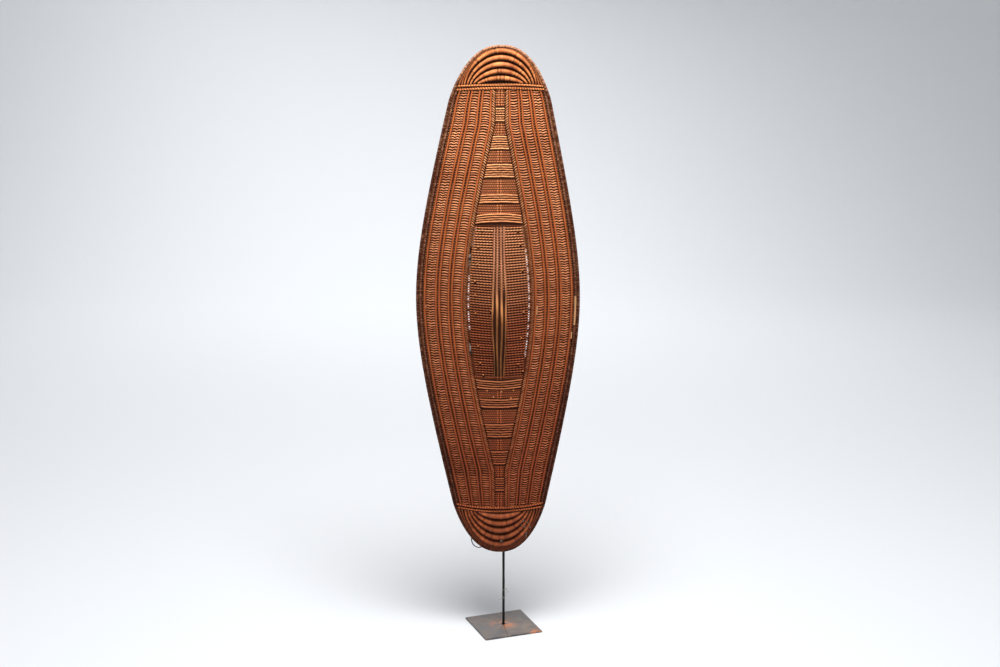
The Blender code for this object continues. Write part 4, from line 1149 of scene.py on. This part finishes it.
def make_panel_back():
    batch = Batch()
    along, across, height = back_grid(PANEL_BOTTOM + 0.0010, PANEL_TOP - 0.0010, 26, 0.98)
    front = at(across, along, -PANEL_THICKNESS - PANEL_BACK_RELIEF * height, SLOT_WIDTH)
    add_back(batch, front, at(across, along, -PANEL_THICKNESS / 2, SLOT_WIDTH), height, 0.25)
    batch.finish("panel_back_weave", "field", "woven_cane")


def make_cap_backs():
    for end, sign, label in ENDS:
        batch = Batch()
        along, across, height = back_grid(CROSS_CORD_PLACE[end], HALF_LENGTH - INSET - 0.0015, 30, 0.985)
        along = sign * along[::sign]
        side = body_half_width(along) * across
        front = at_side(side, along, -BODY_THICKNESS - CAP_BACK_RELIEF * height)
        add_back(batch, front, at_side(side, along, -BODY_THICKNESS / 2), height, 0.30)
        batch.finish(f"{label}_cap_back_weave", "field", "woven_cane")


# Pegs, painted shadows, fibres and worn places


def make_pegs():
    pegs, shade_beads = Batch(), Batch()
    for across, along in PEGS:
        ball(pegs, at(across, along, 0.0032, SLOT_WIDTH), PEG_SIZE, 0.05, draw(0.1, 0.9))
    for across, along in FIELD_PEGS:
        ball(pegs, at(across, along, 0.0020), FIELD_PEG_SIZE, 0.05, draw(0.3, 1.0))
    # Near-black beads: a painted shadow under each peg and painted shade in holes at the edge of the boss
    for across, along in PEGS:
        spot = at(across + draw(-0.02, 0.02), along - 0.0046, 0.0026, SLOT_WIDTH)
        ball(shade_beads, spot, PEG_SHADOW_SIZE, 1.0, 0.0)
    for across, along, length in EDGE_SHADE_SPOTS:
        size = (EDGE_SHADE_WIDTH, EDGE_SHADE_WIDTH, length / 2)
        ball(shade_beads, at(across, along, 0.0016), size, 1.0, 0.0)
    pegs.finish("cut_cane_ends", "peg", "woven_cane")
    shade_beads.finish("painted_shade_beads", "hide", "woven_cane")


def make_fibres():
    fibres = Batch()
    for across, along, length in EDGE_FIBRES:
        for _ in range(4):
            drift = draw(-0.018, 0.018, 4)
            spots = np.linspace(-0.5, 0.5, 4) * length + draw(-0.0016, 0.0016)
            points = at(across + drift, along + spots, 0.0030 + draw(-0.0008, 0.0014, 4))
            round_wire(fibres, points, FIBRE_RADIUS, tone=draw(-0.2, 0.6))
    for across, along in CAP_SPECKS:
        drift = draw(-0.012, 0.012, 3)
        points = at(across + drift, along + np.linspace(-0.0022, 0.0022, 3), 0.0100)
        round_wire(fibres, points, SPECK_RADIUS, tone=draw(0.0, 0.5))
    fibres.finish("loose_fibres", "fibre", "hide_thong")


def make_worn_patches():
    batch = Batch()
    for low, high, middle in WORN_PATCHES:
        along = np.linspace(low, high, 12)[:, None]
        across = middle + (0.010 + 0.004 * np.sin(along * 900.0)) * np.linspace(-1.0, 1.0, 5)
        front = at(across, along, 0.0034 + 0.0006 * np.sin(along * 1000.0))
        batch.slab(front, at(across, along, 0.0012), 0.1, 0.6, step=3)
    batch.finish("worn_cane", "bare", "woven_cane")


# Grip, thongs, rod and wires


def make_grip():
    along = np.linspace(-GRIP_HALF_LENGTH, GRIP_HALF_LENGTH, 120)
    share = np.sin(along / GRIP_HALF_LENGTH * PI / 2) ** 2
    front = GRIP_MIDDLE_FRONT + (GRIP_FOOT_FRONT - GRIP_MIDDLE_FRONT) * share
    path = place(stacked(GRIP_SIDE, along, front - GRIP_DEPTH / 2))
    tip = np.clip((GRIP_HALF_LENGTH - np.abs(along)) / 0.006, 0.0, 1.0)
    waist = (0.965 + 0.03 * np.cos(along * 30.0)) * (0.80 + 0.20 * np.sqrt(tip))
    rings = round_rings(path, FORWARD, GRIP_WIDTH / 2 * waist, GRIP_DEPTH / 2 * waist, 20)
    batch = Batch()
    batch.tube(rings, 0.1, 0.5 + 0.15 * np.sin(along * 70.0)[:, None])
    batch.finish("worn_grip", "wood", "grip_wood", "grip_bar")


def make_thongs():
    paths = {
        "upper": (
            (-0.0830, -0.0330, 0.9506), (-0.0808, -0.0281, 0.9498), (-0.0767, -0.0159, 0.9485),
            (-0.0440, -0.0215, 0.9520), (-0.0123, -0.0257, 0.9555), (-0.0123, -0.0172, 0.9551),
            (-0.0048, -0.0106, 0.9547), (0.0056, -0.0106, 0.9547), (0.0130, -0.0172, 0.9551),
            (0.0130, -0.0255, 0.9555)),
        "lower": (
            (-0.0810, -0.0460, 0.7230), (-0.0791, -0.0410, 0.7228), (-0.0753, -0.0286, 0.7228),
            (-0.0440, -0.0345, 0.7115), (-0.0125, -0.0391, 0.6999), (-0.0125, -0.0306, 0.6994),
            (-0.0050, -0.0240, 0.6991), (0.0053, -0.0240, 0.6991), (0.0128, -0.0306, 0.6994),
            (0.0128, -0.0390, 0.6999)),
    }
    for label, points in paths.items():
        batch = Batch()
        round_wire(batch, points, THONG_RADIUS, spacing=0.0014, sides=8)
        knot = np.array(points[0]) * 0.4 + np.array(points[1]) * 0.6
        ball(batch, knot, (0.0030, 0.0022, 0.0030), 0.3, 0.4)
        for spin in range(3):
            turn = np.linspace(0.0, 2 * PI, 9) + spin
            loop = stacked(0.0030 * np.cos(turn), 0.0014 * np.sin(turn * 2 + spin), 0.0030 * np.sin(turn))
            round_wire(batch, knot + loop, KNOT_RADIUS, spacing=0.0010, sides=7)
        batch.finish(f"{label}_thong", "hide", "hide_thong", f"{label}_grip_lashing")


def on_circle(radius, turn, level):
    """Points round the middle of the rod."""
    return stacked(radius * np.cos(turn), radius * np.sin(turn), level)


def make_rod():
    batch = Batch()
    low = PLATE_THICKNESS + GAP
    levels = np.array((low, low + 0.0006, 0.30, 0.55, ROD_TOP - 0.0008, ROD_TOP))[:, None]
    radius = np.array((1.0, 1.0, 1.0, 1.0, 1.0, 0.78))[:, None] * (ROD_RADIUS - 0.00002)
    batch.tube(on_circle(radius, ring(40)[::-1], levels))
    batch.finish("smooth_rod", "iron", "dark_iron", "stand_rod")
    weld = Batch()
    spin, around = ring(48)[:, None], ring(8)[::-1]
    swell = 1.0 + 0.12 * np.sin(spin * 11.0)
    radius = WELD_RADIUS + 0.0011 * swell * np.cos(around)
    level = PLATE_THICKNESS + 0.0010 + 0.0009 * swell * np.sin(around)
    weld.tube(on_circle(radius, spin, level), closed=True)
    weld.finish("rod_weld", "iron", "dark_iron")


def level_path(points, level):
    """Points of a level wire, at one height."""
    return stacked(*np.transpose(points), level)


def make_wires():
    tie = Batch()
    hook = (
        (-0.0072, -0.0272), (-0.0040, -0.0258), (-0.0005, -0.0180), (-0.0038, -0.0050), (-0.0041, 0.0),
        (-0.0030, 0.0029), (0.0, 0.0041), (0.0030, 0.0029), (0.0041, 0.0), (0.0029, -0.0080))
    round_wire(tie, level_path(hook, TIE_HEIGHT), facing=UPWARD, spacing=0.0008)
    turn = np.linspace(0.0, 2 * PI, 9)
    for spin in range(3):
        knot = stacked(
            0.0015 * np.cos(turn) - 0.0072, 0.0012 * np.sin(turn + 0.9 * spin) - 0.0262,
            0.0015 * np.sin(turn) + TIE_HEIGHT)
        round_wire(tie, knot, spacing=0.0006, sides=7, tone=-0.2)
    tie.finish("tie_wire_knot", "fibre", "dark_iron", "lower_tie_wire")
    grip = Batch()
    loop = (
        (0.0122, -0.0133), (0.0122, -0.0218), (0.0051, -0.0277), (-0.0050, -0.0277), (-0.0122, -0.0218),
        (-0.0122, -0.0133), (-0.0044, 0.0012), (-0.0018, 0.0041), (0.0018, 0.0041), (0.0044, 0.0012),
        (0.0122, -0.0133))
    round_wire(grip, level_path(loop, GRIP_WIRE_HEIGHT), facing=UPWARD)
    grip.finish("grip_wire", "iron", "dark_iron", "grip_tie_wire")
    binding = Batch()
    turn = np.linspace(0.0, 1.9 * PI, 16)
    points = np.concatenate((
        ((-0.0118, -0.0004, 0.0692), (-0.0075, -0.0003, 0.0712)),
        on_circle(-0.0041, turn, 0.0732 + 0.0125 * turn / turn[-1]),
        ((0.0062, -0.0040, 0.0878), (0.0101, -0.0039, 0.0905), (0.0098, -0.0038, 0.0945),
            (0.0050, -0.0042, 0.0975), (0.0, -0.0043, 0.0965), (0.0040, -0.0042, 0.0990),
            (0.0098, -0.0040, 0.1018))))
    round_wire(binding, points, spacing=0.0009)
    binding.finish("binding_wire", "fibre", "dark_iron", "rod_binding_wire")
    loop = Batch()
    points = (
        (-0.0548, -0.0076, 0.2140), (-0.0604, -0.0069, 0.2120), (-0.0670, -0.0063, 0.2131),
        (-0.0722, -0.0058, 0.2160), (-0.0757, -0.0055, 0.2197), (-0.0781, -0.0055, 0.2245),
        (-0.0795, -0.0059, 0.2290), (-0.0800, -0.0064, 0.2340), (-0.0798, -0.0071, 0.2400))
    round_wire(loop, points, LOOP_WIRE_RADIUS)
    loop.finish("loop_wire", "hide", "dark_iron", "rim_wire_loop")


# Stage, light and camera


def make_stage():
    """A floor that bends up into a backdrop."""
    profile = [(STAGE_FRONT, 0.0)]
    for turn in np.linspace(0.0, PI / 2, 17):
        profile.append((STAGE_BACK + STAGE_CURVE * math.sin(turn), STAGE_CURVE * (1.0 - math.cos(turn))))
    profile.append((STAGE_BACK + STAGE_CURVE, STAGE_TOP))
    points = [(side, y, z) for side in (-STAGE_HALF_WIDTH, STAGE_HALF_WIDTH) for y, z in profile]
    count = len(profile)
    faces = [(i, i + count, i + count + 1, i + 1) for i in range(count - 1)]
    mesh = bpy.data.meshes.new("backdrop")
    mesh.from_pydata(points, [], faces)
    mesh.shade_smooth()
    look = Look("pale paper", 0.9)
    look.shader.inputs["Base Color"].default_value = (0.725, 0.737, 0.756, 1.0)
    mesh.materials.append(look.material)
    backdrop = bpy.data.objects.new("backdrop", mesh)
    bpy.context.scene.collection.objects.link(backdrop)


def area_light(name, spot, target, size, power):
    light = bpy.data.lights.new(name, "AREA")
    light.shape = "RECTANGLE"
    light.size, light.size_y = size
    light.energy = power
    lamp = bpy.data.objects.new(name, light)
    x, y, z = np.array(target) - spot
    lamp.location = spot
    lamp.rotation_euler = (math.atan2(math.hypot(x, y), -z), 0.0, math.atan2(y, x) - PI / 2)
    bpy.context.scene.collection.objects.link(lamp)


def make_light_and_camera():
    for lamp in LAMPS:
        area_light(*lamp)
    world = bpy.data.worlds.new("studio")
    world.use_nodes = True
    background = world.node_tree.nodes["Background"]
    background.inputs["Color"].default_value = (0.93, 0.96, 1.0, 1.0)
    background.inputs["Strength"].default_value = 0.31
    bpy.context.scene.world = world
    camera = bpy.data.cameras.new("camera")
    camera.lens = CAMERA_LENS
    camera.sensor_width = 36.0
    eye = bpy.data.objects.new("camera", camera)
    eye.location = CAMERA_PLACE
    eye.rotation_euler = (PI / 2 - CAMERA_DOWN, 0.0, -CAMERA_RIGHT)
    bpy.context.scene.collection.objects.link(eye)
    bpy.context.scene.camera = eye


bpy.context.scene.view_settings.view_transform = "Standard"
make_stage()
make_light_and_camera()
for make in (
        make_strips, make_field, make_ladder_bands, make_boss, make_spine, make_strands, make_twists,
        make_cap_ground, make_cross_cords, make_rolls, make_edge_cords, make_rim, make_bare_cords,
        make_back, make_panel_back, make_cap_backs, make_pegs, make_fibres, make_worn_patches,
        make_grip, make_thongs, make_rod, make_wires):
    make()
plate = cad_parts["base_plate"]
plate.data.materials.clear()
plate.data.materials.append(LOOKS["steel"])
